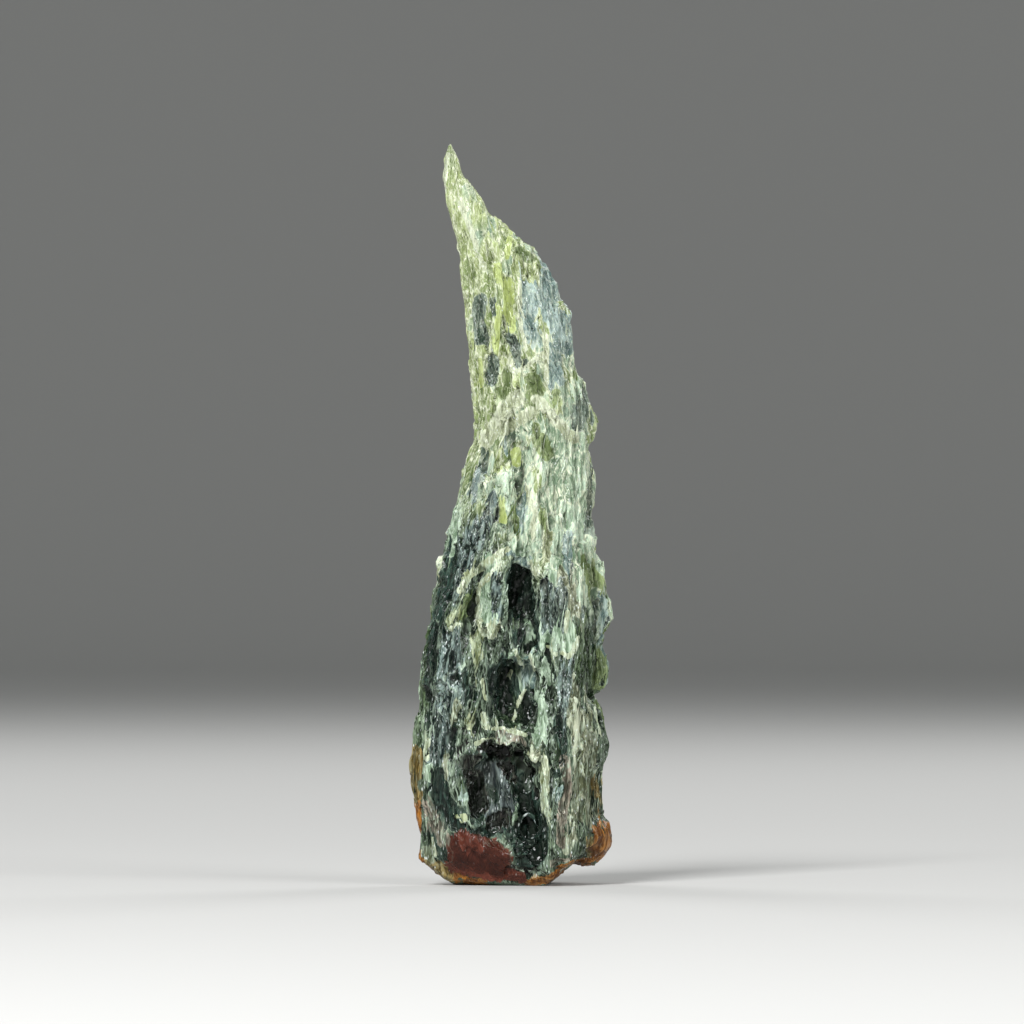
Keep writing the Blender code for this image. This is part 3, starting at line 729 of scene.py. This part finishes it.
def new_group(name, inputs, outputs):
    """A node group with named sockets, and its two end nodes."""
    tree = bpy.data.node_groups.new(name, "ShaderNodeTree")
    for title, (kind, value) in inputs.items():
        socket = tree.interface.new_socket(title, in_out="INPUT", socket_type="NodeSocket" + kind)
        if value is not None:
            socket.default_value = value
    for title, kind in outputs.items():
        tree.interface.new_socket(title, in_out="OUTPUT", socket_type="NodeSocket" + kind)
    return tree, tree.nodes.new("NodeGroupInput").outputs, tree.nodes.new("NodeGroupOutput").inputs


def finish_group(tree, ends, results):
    """Links the results to the group's end node."""
    for title, value in results.items():
        tree.links.new(value, ends[title])
    return tree


def use(tree, group, inputs=()):
    """Places a group in a tree and gives its outputs."""
    node = tree.nodes.new("ShaderNodeGroup")
    node.node_tree = group
    return fill(tree, node, inputs).outputs


# %% [markdown]
# ## Fibre streaks
#
# Up close each lath is a bundle of hairs, some pale and some dark. That is noise squeezed across the grain and drawn
# out along it. The group gives a streak above 0 where it is pale and below 0 where it is dark.

# %% Node group: fibre streaks
def stretched(tree, place, width, length):
    """Places squeezed across the grain and drawn out along it."""
    across = calc(tree, "DIVIDE", 1.0, width)
    along = calc(tree, "DIVIDE", 1.0, length)
    squeeze = add(tree, "CombineXYZ", {0: across, 1: across, 2: along}).outputs[0]
    return add(tree, "VectorMath", {0: place, 1: squeeze}, operation="MULTIPLY").outputs[0]


def make_streaks():
    tree, given, ends = new_group(
        "fibre_streaks",
        {"Grain": ("Vector", None), "Width": ("Float", 0.5), "Length": ("Float", 5.0), "Contrast": ("Float", 2.0),
         "Detail": ("Float", 1.0)},
        {"Streak": "Float"},
    )
    place = stretched(tree, given["Grain"], given["Width"], given["Length"])
    cloth = add(tree, "TexNoise", {"Vector": place, "Scale": 1.0, "Detail": given["Detail"], "Roughness": 0.65})
    streak = calc(tree, "MULTIPLY", calc(tree, "SUBTRACT", cloth.outputs[0], 0.5), given["Contrast"])
    return finish_group(tree, ends, {"Streak": streak})


streaks = make_streaks()

# %% [markdown]
# ## Bent grain
#
# No fibre is quite straight. Pushing the places about with a soft noise before the patterns are drawn bends all of the
# patterns in the same way, so that veins, lozenges and streaks still belong together.

# %% Node group: bent grain
def make_bend():
    tree, given, ends = new_group(
        "bent_grain", {"Grain": ("Vector", None), "Size": ("Float", 2.5), "Amount": ("Float", 1.2)}, {"Bent": "Vector"})
    place = stretched(tree, given["Grain"], given["Size"], calc(tree, "MULTIPLY", given["Size"], 1.6))
    push = add(tree, "TexNoise", {"Vector": place, "Scale": 1.0, "Detail": 2.0, "Roughness": 0.6}).outputs[1]
    push = add(tree, "VectorMath", {0: push, 1: (0.5, 0.5, 0.5)}, operation="SUBTRACT").outputs[0]
    push = add(tree, "VectorMath", {0: push, "Scale": given["Amount"]}, operation="SCALE").outputs[0]
    bent = add(tree, "VectorMath", {0: given["Grain"], 1: push}, operation="ADD").outputs[0]
    return finish_group(tree, ends, {"Bent": bent})


bend = make_bend()

# %% [markdown]
# ## The net of pale veins
#
# Fine cracks healed with pale fibre run round every lozenge of green. They are the borders of stretched Voronoi cells.
# The same cells give each lozenge three numbers of its own: for its tone, its hue and how glassy it is.

# %% Node group: vein net
def make_veins():
    tree, given, ends = new_group(
        "vein_net",
        {"Grain": ("Vector", None), "Width": ("Float", 1.5), "Length": ("Float", 4.5), "Thickness": ("Float", 0.07)},
        {"Vein": "Float", "Core": "Float", "Own": "Vector"},
    )
    place = stretched(tree, given["Grain"], given["Width"], given["Length"])
    border = add(tree, "TexVoronoi", {"Vector": place, "Scale": 1.0}, feature="DISTANCE_TO_EDGE").outputs["Distance"]
    own = add(tree, "TexVoronoi", {"Vector": place, "Scale": 1.0}, feature="F1").outputs["Color"]
    vein = calc(tree, "SUBTRACT", 1.0, climb(tree, border, 0.0, given["Thickness"]))
    return finish_group(tree, ends, {"Vein": vein, "Core": climb(tree, border, 0.02, 0.36), "Own": own})


veins = make_veins()

# %% [markdown]
# ## Loose threads
#
# Over the lozenges wind single threads. Where a noise passes one half there is a line, and lines of that kind wander,
# branch off and close like threads do.

# %% Node group: loose threads
def make_threads():
    tree, given, ends = new_group(
        "loose_threads",
        {"Grain": ("Vector", None), "Width": ("Float", 1.2), "Length": ("Float", 3.0), "Thickness": ("Float", 0.02)},
        {"Thread": "Float"},
    )
    place = stretched(tree, given["Grain"], given["Width"], given["Length"])
    cloth = add(tree, "TexNoise", {"Vector": place, "Scale": 1.0, "Detail": 2.0, "Roughness": 0.55}).outputs[0]
    return finish_group(tree, ends, {"Thread": line_at(tree, cloth, 0.5, 0.0, given["Thickness"])})


threads = make_threads()

# %% [markdown]
# ## Frost specks
# ## Painted glints
# Broken fibre ends catch the light as short white dashes, thickest on the steel-grey and the dark laths. One small
# Short white dashes are painted on as glints, where broken fibre ends would catch the light; they are thickest on the
# steel-grey and the dark laths. One small Voronoi cell in a few carries a dash at its middle.

# %% Node group: painted glints
def make_painted_glints():
    tree, given, ends = new_group(
        "painted_glints",
        {"Grain": ("Vector", None), "Size": ("Float", 0.3), "Amount": ("Float", 0.3)},
        {"Glint": "Float"},
    )
    place = stretched(tree, given["Grain"], given["Size"], calc(tree, "MULTIPLY", given["Size"], 2.2))
    dots = add(tree, "TexVoronoi", {"Vector": place, "Scale": 1.0, "Randomness": 1.0}, feature="F1")
    chosen = add(tree, "SeparateColor", {0: dots.outputs["Color"]}).outputs[1]
    level = calc(tree, "SUBTRACT", 1.0, given["Amount"])
    shown = climb(tree, chosen, level, calc(tree, "ADD", level, 0.08))
    dash = calc(tree, "SUBTRACT", 1.0, climb(tree, dots.outputs["Distance"], 0.2, 0.5))
    return finish_group(tree, ends, {"Glint": calc(tree, "MULTIPLY", shown, dash)})


painted_glint_group = make_painted_glints()

# %% [markdown]
# ## The stone's colours
#
# Each kind of mineral has a deep colour, where light sinks in, and a light one, where fibres are crushed. With each
# kind go a roughness, how strongly veins show and how many painted glints there are. Some kinds are plainer than
# others: they lose a part of their mottle and their veins. Both of the materials will need all this, so it becomes one
# node group, built over the next five cells.

# %% The colours of each kind
BASE = {  # deep and light colour
    "low": ((0.003, 0.010, 0.004), (0.074, 0.112, 0.064)),
    "high": ((0.15, 0.20, 0.060), (0.48, 0.57, 0.26)),
    "high_mint": ((0.155, 0.235, 0.145), (0.47, 0.61, 0.46)),
    "glassy": ((0.10, 0.15, 0.045), (0.29, 0.37, 0.15)),
}
LOOKS = {  # deep colour, light colour, then roughness, veins and painted glints
    "murk_and_shade": ((0.003, 0.012, 0.008), (0.056, 0.098, 0.074), (0.20, 0.12, 0.18)),
    "mint": ((0.165, 0.25, 0.155), (0.66, 0.83, 0.64), (0.42, 0.95, 0.25)),
    "sage": ((0.082, 0.094, 0.045), (0.54, 0.57, 0.41), (0.45, 0.50, 0.30)),
    "silver": ((0.10, 0.165, 0.15), (0.52, 0.66, 0.61), (0.32, 0.35, 0.60)),
    "slate": ((0.030, 0.055, 0.036), (0.36, 0.45, 0.37), (0.28, 0.40, 0.40)),
    "steel": ((0.004, 0.011, 0.010), (0.22, 0.30, 0.285), (0.26, 0.25, 0.62)),
    "glass": ((0.016, 0.024, 0.025), (0.17, 0.21, 0.21), (0.20, 0.15, 0.40)),
    "olive": ((0.006, 0.017, 0.004), (0.105, 0.165, 0.066), (0.22, 0.35, 0.22)),
    "forest": ((0.003, 0.012, 0.004), (0.050, 0.088, 0.040), (0.22, 0.15, 0.15)),
    "moss": ((0.095, 0.14, 0.045), (0.33, 0.42, 0.18), (0.30, 0.40, 0.12)),
    "gold": ((0.35, 0.43, 0.13), (0.64, 0.75, 0.33), (0.32, 0.35, 0.10)),
    "straw": ((0.13, 0.16, 0.06), (0.60, 0.66, 0.40), (0.40, 0.50, 0.20)),
    "cream": ((0.30, 0.34, 0.20), (0.82, 0.89, 0.68), (0.50, 0.60, 0.30)),
    "dark": ((0.002, 0.007, 0.005), (0.034, 0.074, 0.058), (0.14, 0.10, 0.14)),
    "umber": ((0.0015, 0.0013, 0.0010), (0.058, 0.049, 0.044), (0.20, 0.10, 0.20)),
    "ochre": ((0.085, 0.058, 0.012), (0.36, 0.26, 0.09), (0.30, 0.20, 0.10)),
    "rust": ((0.11, 0.034, 0.003), (0.42, 0.165, 0.020), (0.25, 0.08, 0.08)),
    "rose": ((0.036, 0.008, 0.004), (0.225, 0.058, 0.034), (0.30, 0.04, 0.04)),
    "blush": ((0.055, 0.050, 0.034), (0.46, 0.39, 0.31), (0.40, 0.25, 0.30)),
}
LOW_TRAITS, HIGH_TRAITS = (0.34, 0.34, 0.40), (0.48, 1.0, 0.08)  # of the plain green
PLAIN = {  # how much of its mottle and veins a kind loses
    "slate": 0.4, "moss": 0.6, "gold": 0.6, "dark": 0.5, "murk_and_shade": 0.3, "forest": 0.4, "rose": 1.0,
}
RIMMED = ("murk_and_shade",)
UNLINED = ("rust", "ochre", "rose")
VEIN_LOW = (0.49, 0.62, 0.47, 1.0)
VEIN_HIGH = (0.80, 0.85, 0.64, 1.0)
PAINTED_GLINT_COLOUR = (0.86, 0.95, 0.92, 1.0)
SHADE_COLOUR = (0.006, 0.009, 0.006, 1.0)


# %% [markdown]
# ## The patterns
#
# The grain is bent twice: a little for the streaks and the hairs, and more for the large net and the threads, which
# wind more. The streaks also fray the borders between the kinds. In the pale upper half they do it less, because the
# borders are crisper there.

# %% Node group: stone colours, its patterns
def total(tree, *terms):
    """Adds up pairs of an output and a factor."""
    result = 0.0
    for output, factor in terms:
        result = add(tree, "Math", {0: output, 1: factor, 2: result}, operation="MULTIPLY_ADD").outputs[0]
    return result


def weakened(tree, value, mask, share):
    """A value that loses a share of itself where a mask is 1."""
    return calc(tree, "MULTIPLY", value, total(tree, (mask, -share), (1.0, 1.0)))


def strongest(tree, value, *terms):
    """The largest of a value and some pairs of an output and a factor."""
    for output, factor in terms:
        value = calc(tree, "MAXIMUM", value, calc(tree, "MULTIPLY", output, factor))
    return value


tree, given, ends = new_group(
    "stone_colours",
    {"Paleness": ("Float", 0.0), "Fray": ("Float", 0.7)},
    {"Color": "Color", "Roughness": "Float", "Height": "Float"},
)
place = read(tree, "grain", "Vector")
bent = use(tree, bend, {"Grain": place, "Size": 2.4, "Amount": 2.0})["Bent"]
tangled = use(tree, bend, {"Grain": place, "Size": 2.8, "Amount": 4.0})["Bent"]
coarse = use(tree, streaks, {"Grain": bent, "Width": 0.85, "Length": 4.2, "Contrast": 2.7, "Detail": 1.5})["Streak"]
fine = use(tree, streaks, {"Grain": bent, "Width": 0.22, "Length": 2.4, "Contrast": 3.2, "Detail": 0.5})["Streak"]
net = use(tree, veins, {"Grain": tangled, "Width": 2.4, "Length": 5.4, "Thickness": 0.11})
small_net = use(tree, veins, {"Grain": bent, "Width": 1.0, "Length": 2.6, "Thickness": 0.12})
thread = use(tree, threads, {"Grain": tangled, "Width": 1.3, "Length": 3.0, "Thickness": 0.022})["Thread"]
hair = use(tree, threads, {"Grain": bent, "Width": 0.55, "Length": 4.5, "Thickness": 0.035})["Thread"]
own = add(tree, "SeparateColor", {0: net["Own"]}).outputs
fray = calc(tree, "MULTIPLY", total(tree, (coarse, 0.16), (fine, 0.10)), given["Fray"])
fray = calc(tree, "MULTIPLY", fray, calc(tree, "SUBTRACT", 1.0, calc(tree, "MULTIPLY", read(tree, "pale"), 0.5)))
print("patterns:", len(tree.nodes), "nodes")

# %% [markdown]
# ## The plain green
#
# Where no other kind lies, the stone is dark green below and pale green above. In the pale part each lozenge of the
# net has numbers of its own: one leans it from yellow-green to mint, and another makes about a third of them glassy.

# %% Mix the plain green
pale = climb(tree, calc(tree, "ADD", read(tree, "pale"), fray), 0.2, 0.8)
minty = climb(tree, total(tree, (own[1], 0.7), (read(tree, "minty"), 1.0)), 0.35, 0.75)
glassy = climb(tree, own[2], 0.66, 0.72)


def opaque(colour):
    """A colour with the fourth number that Blender asks for."""
    return (*colour, 1.0)


def plain_green(side):
    """The deep colour is side 0 and the light one side 1."""
    low, high, high_mint, glass = (opaque(BASE[name][side]) for name in ("low", "high", "high_mint", "glassy"))
    return blend(tree, pale, low, blend(tree, glassy, blend(tree, minty, high, high_mint), glass))


deep_now, light_now = plain_green(0), plain_green(1)
traits = blend(tree, pale, opaque(LOW_TRAITS), opaque(HIGH_TRAITS))

# %% [markdown]
# ## Each kind takes over
#
# The group walks through the kinds in the order of the table. Where a kind's field, pushed to and fro by the streaks,
# passes one half, the kind takes over from the ones before it. On most borders lies a pale outline, and the murky
# patches, which are partly painted shade in the hollows, also get a pale rim a little outside. The middle of a patch is
# noted as its core, to be darkened later.

# %% Let each kind take over
outline, rim, core, plain = 0.0, 0.0, 0.0, 0.0
for kind, (deep_colour, light_colour, trait) in LOOKS.items():
    raw = calc(tree, "ADD", read(tree, kind), fray)
    inside = climb(tree, raw, 0.46, 0.54)
    deep_now = blend(tree, inside, deep_now, opaque(deep_colour))
    light_now = blend(tree, inside, light_now, opaque(light_colour))
    traits = blend(tree, inside, traits, opaque(trait))
    if kind not in UNLINED:
        outline = calc(tree, "MAXIMUM", outline, line_at(tree, raw, 0.5, 0.0, 0.05))
    if kind in PLAIN:
        plain = strongest(tree, plain, (inside, PLAIN[kind]))
    if kind in RIMMED:
        rim = calc(tree, "MAXIMUM", rim, line_at(tree, raw, 0.43, 0.02, 0.08))
    core = calc(tree, "MAXIMUM", core, climb(tree, raw, 0.5, 0.85))
trait = add(tree, "SeparateColor", {0: traits}).outputs
print("patterns and kinds:", len(tree.nodes), "nodes")

# %% [markdown]
# ## Light and dark within a kind
#
# One number, the tone, says how far a place is from its kind's deep colour to the light one. Streaks, laths, lozenges
# and hairs make it vary. Lozenges' middles and the cores of patches pull it down, because light sinks in there. Small
# hollows and deep places pull it down too, as painted shade, and small rims push it up, as a painted highlight. The
# dark lower half has more contrast than the pale upper half.

# %% Work out the tone
mottle = total(tree, (coarse, 0.50), (fine, 0.34), (read(tree, "fibre_tone"), 0.26))
crispness = calc(tree, "SUBTRACT", 1.6, calc(tree, "MULTIPLY", pale, 1.24))
hollow_shade_and_rim_light = weakened(tree, read(tree, "hollow"), pale, 0.6)
mottle = weakened(tree, mottle, plain, 0.75)
# The hollow and deep terms paint shade into hollows and a highlight onto rims.
tone = total(tree, (mottle, crispness), (hair, 0.15), (read(tree, "lath_tone"), 0.30), (own[0], 0.50),
             (calc(tree, "MULTIPLY", own[0], pale), 0.25), (net["Core"], -0.20), (core, -0.25),
             (hollow_shade_and_rim_light, -0.36), (read(tree, "deep"), -0.30), (given["Paleness"], 1.0))
tone = calc(tree, "POWER", climb(tree, tone, -0.45, 0.95), 1.4)
colour = blend(tree, tone, deep_now, light_now)

# %% [markdown]
# ## Veins, painted glints and painted shade
#
# The veins are the strongest of both nets, the threads, the hairs, the outlines and the crushed outer edges of the
# stone, which are also a painted highlight. The streaks break them up, or they would look drawn on. Painted glints and
# the painted shade of deep places go over them. Streaks, the large net and the threads also give a height, which a Bump
# node turns into fine relief.

# %% Draw veins, painted glints and painted shade
small_vein = calc(tree, "MULTIPLY", small_net["Vein"], total(tree, (pale, -0.42), (1.0, 0.72)))
vein = calc(tree, "MAXIMUM", net["Vein"], small_vein)
vein = calc(tree, "MULTIPLY", strongest(tree, vein, (thread, 0.9), (hair, 0.6)), trait[1])
vein = strongest(tree, vein, (outline, total(tree, (pale, 0.55), (1.0, 0.25))), (rim, 0.7))
# Convex outer edges turn pale: partly crushed fibre, partly a painted edge highlight.
crushed_rim_and_highlight = calc(tree, "MULTIPLY", climb(tree, read(tree, "deep"), -0.25, -0.9), climb(tree, trait[1], 0.0, 0.34))
vein = strongest(tree, vein, (crushed_rim_and_highlight, 0.6))
broken = climb(tree, total(tree, (fine, 1.0), (coarse, 0.8)), -0.7, 0.3)
vein = weakened(tree, calc(tree, "MULTIPLY", vein, broken), plain, 0.9)
colour = blend(tree, vein, colour, blend(tree, pale, VEIN_LOW, VEIN_HIGH))

# Painted glints: short white dashes that stand for light caught on broken fibre ends.
painted_glint = use(tree, painted_glint_group, {"Grain": place, "Size": 0.22, "Amount": trait[2]})["Glint"]
painted_glint = calc(tree, "MULTIPLY", painted_glint, climb(tree, coarse, -0.25, 0.45))
colour = blend(tree, calc(tree, "MULTIPLY", painted_glint, 0.9), colour, PAINTED_GLINT_COLOUR)
# Painted shade: deep places are darkened towards a near-black green.
shade = climb(tree, read(tree, "deep"), 0.0, 0.9)
colour = blend(tree, calc(tree, "MULTIPLY", shade, 0.75), colour, SHADE_COLOUR)

height = total(tree, (fine, 0.6), (net["Vein"], 0.35), (thread, 0.3))
rough = total(tree, (tone, 0.22), (vein, 0.15), (trait[0], 1.0))
rough = calc(tree, "SUBTRACT", rough, 0.10, clamp=True)
colours = finish_group(tree, ends, {"Color": colour, "Roughness": rough, "Height": height})
print("stone_colours:", len(colours.nodes), "nodes")

# %% [markdown]
# ## Two materials from one group
#
# The skin and the splinters are the same mineral, so both use the group. The splinters are thin and crushed, so they
# are set paler and let more light through. Subsurface scattering gives the waxy glow at thin edges.

# %% Make the materials
ANTIGORITE_IOR = 1.56
BUMP_DEPTH = 0.15 * MM
WAXY_GLOW = {  # the same for the skin and the splinters
    "IOR": ANTIGORITE_IOR, "Specular IOR Level": 0.15, "Coat Weight": 0.15, "Coat Roughness": 0.08,
    "Subsurface Radius": (0.8, 1.0, 0.55), "Subsurface Scale": 0.6 * MM,
}


def stone_material(name, paleness, fray, scattering, bump):
    """The stone's finish, with its own values in the shared group."""
    material = bpy.data.materials.new(name)
    material.use_nodes = True
    tree = material.node_tree
    shader = tree.nodes["Principled BSDF"]
    look = use(tree, colours, {"Paleness": paleness, "Fray": fray})
    relief_bump = add(tree, "Bump", {"Strength": bump, "Distance": BUMP_DEPTH, "Height": look["Height"]})
    tree.links.new(look["Color"], shader.inputs["Base Color"])
    tree.links.new(look["Roughness"], shader.inputs["Roughness"])
    tree.links.new(relief_bump.outputs[0], shader.inputs["Normal"])
    fill(tree, shader, WAXY_GLOW)
    shader.inputs["Subsurface Weight"].default_value = scattering
    return material


stone.data.materials.append(stone_material("antigorite_skin", 0.0, 1.0, 0.10, 0.9))
splinters.data.materials.append(stone_material("antigorite_splinters", 0.02, 0.8, 0.15, 0.7))
print("materials:", stone.data.materials[0].name, "and", splinters.data.materials[0].name)

# %% [markdown]
# ## A plain studio
#
# The photo's dark backdrop isn't part of the object. Here the stone stands on a pale round floor that curves up all
# round, like a shallow bowl, so that every side view has the same plain ground. The lights are large and soft.

# %% Floor
FLOOR_FLAT, FLOOR_RADIUS, FLOOR_RISE = 2.2, 3.4, 1.6
FLOOR_RINGS, FLOOR_SPOKES = 24, 96


def make_floor():
    """A flat disc whose rim sweeps up."""
    profile = [(0.02, 0.0), (FLOOR_FLAT, 0.0)]
    for i in range(1, FLOOR_RINGS + 1):
        turn = math.pi / 2.0 * i / FLOOR_RINGS
        reach = FLOOR_FLAT + (FLOOR_RADIUS - FLOOR_FLAT) * math.sin(turn)
        profile.append((reach, FLOOR_RISE * (1.0 - math.cos(turn))))
    spots, faces = [(0.0, 0.0, 0.0)], []
    for radius, height in profile:
        for k in range(FLOOR_SPOKES):
            turn = 2.0 * math.pi * k / FLOOR_SPOKES
            spots.append((radius * math.cos(turn), radius * math.sin(turn), height))
    for k in range(FLOOR_SPOKES):
        after = (k + 1) % FLOOR_SPOKES
        faces.append((0, 1 + k, 1 + after))
        for r in range(len(profile) - 1):
            low, high = 1 + r * FLOOR_SPOKES, 1 + (r + 1) * FLOOR_SPOKES
            faces.append((low + k, high + k, high + after, low + after))
    mesh = bpy.data.meshes.new("floor")
    mesh.from_pydata(spots, [], faces)
    mesh.shade_smooth()
    floor = bpy.data.objects.new("floor", mesh)
    bpy.context.scene.collection.objects.link(floor)
    return floor


floor = make_floor()
paper = bpy.data.materials.new("pale_paper")
paper.use_nodes = True
paper_look = {"Base Color": (0.54, 0.54, 0.53, 1.0), "Roughness": 0.9}
fill(paper.node_tree, paper.node_tree.nodes["Principled BSDF"], paper_look)
floor.data.materials.append(paper)
print("floor:", len(floor.data.vertices), "points, radius", FLOOR_RADIUS, "m")

# %% [markdown]
# ## The lights
#
# The key light stands high on the left, as the glints in the photo say. A weaker one fills the right side, and two more
# light the back, so that the stone can be looked at from all round. The rest is the glow of a pale sky.

# %% Lights
MIDDLE = Vector((0.0, 0.0, 60.0 * MM))


def add_softbox(name, azimuth, elevation, distance, size, power, colour=(1.0, 1.0, 1.0)):
    """A square light that faces the stone. Azimuth 0 is in front, and 90 is to the right."""
    turn, rise = math.radians(azimuth), math.radians(elevation)
    away = Vector((math.sin(turn) * math.cos(rise), -math.cos(turn) * math.cos(rise), math.sin(rise)))
    data = bpy.data.lights.new(name, "AREA")
    data.size, data.energy, data.color = size, power, colour
    lamp = bpy.data.objects.new(name, data)
    lamp.location = MIDDLE + away * distance
    lamp.rotation_euler = away.to_track_quat("Z", "Y").to_euler()
    bpy.context.scene.collection.objects.link(lamp)


add_softbox("key", -24, 40, 1.2, 0.36, 15.5)
add_softbox("fill", 48, 25, 1.2, 0.60, 5.0)
add_softbox("back_left", -145, 35, 1.2, 0.50, 4.0)
add_softbox("back_right", 140, 30, 1.2, 0.50, 4.0)

world = bpy.data.worlds.new("soft_world")
world.use_nodes = True
fill(world.node_tree, world.node_tree.nodes["Background"], {"Color": (0.94, 0.97, 0.96, 1.0), "Strength": 0.26})
bpy.context.scene.world = world
bpy.context.scene.view_settings.view_transform = "Standard"

# %% [markdown]
# ## The camera
#
# The photo looks straight at the stone, level with its middle, from far enough away that nothing bends. Its frame is
# about 165 mm wide at the stone. A long lens 1.6 m away gives the same view.

# %% Camera
VIEW_WIDTH = 165.1 * MM
VIEW_DISTANCE = 1.6
VIEW_SHIFT = -0.25 * MM

camera_data = bpy.data.cameras.new("camera")
camera_data.sensor_width = 36.0
camera_data.lens = camera_data.sensor_width * VIEW_DISTANCE / VIEW_WIDTH
camera_data.clip_start, camera_data.clip_end = 0.05, 20.0
camera = bpy.data.objects.new("camera", camera_data)
camera.location = (VIEW_SHIFT, -VIEW_DISTANCE, MIDDLE.z)
camera.rotation_euler = (math.radians(90.0), 0.0, 0.0)
bpy.context.scene.collection.objects.link(camera)
bpy.context.scene.camera = camera
print("lens:", round(camera_data.lens, 1), "mm")
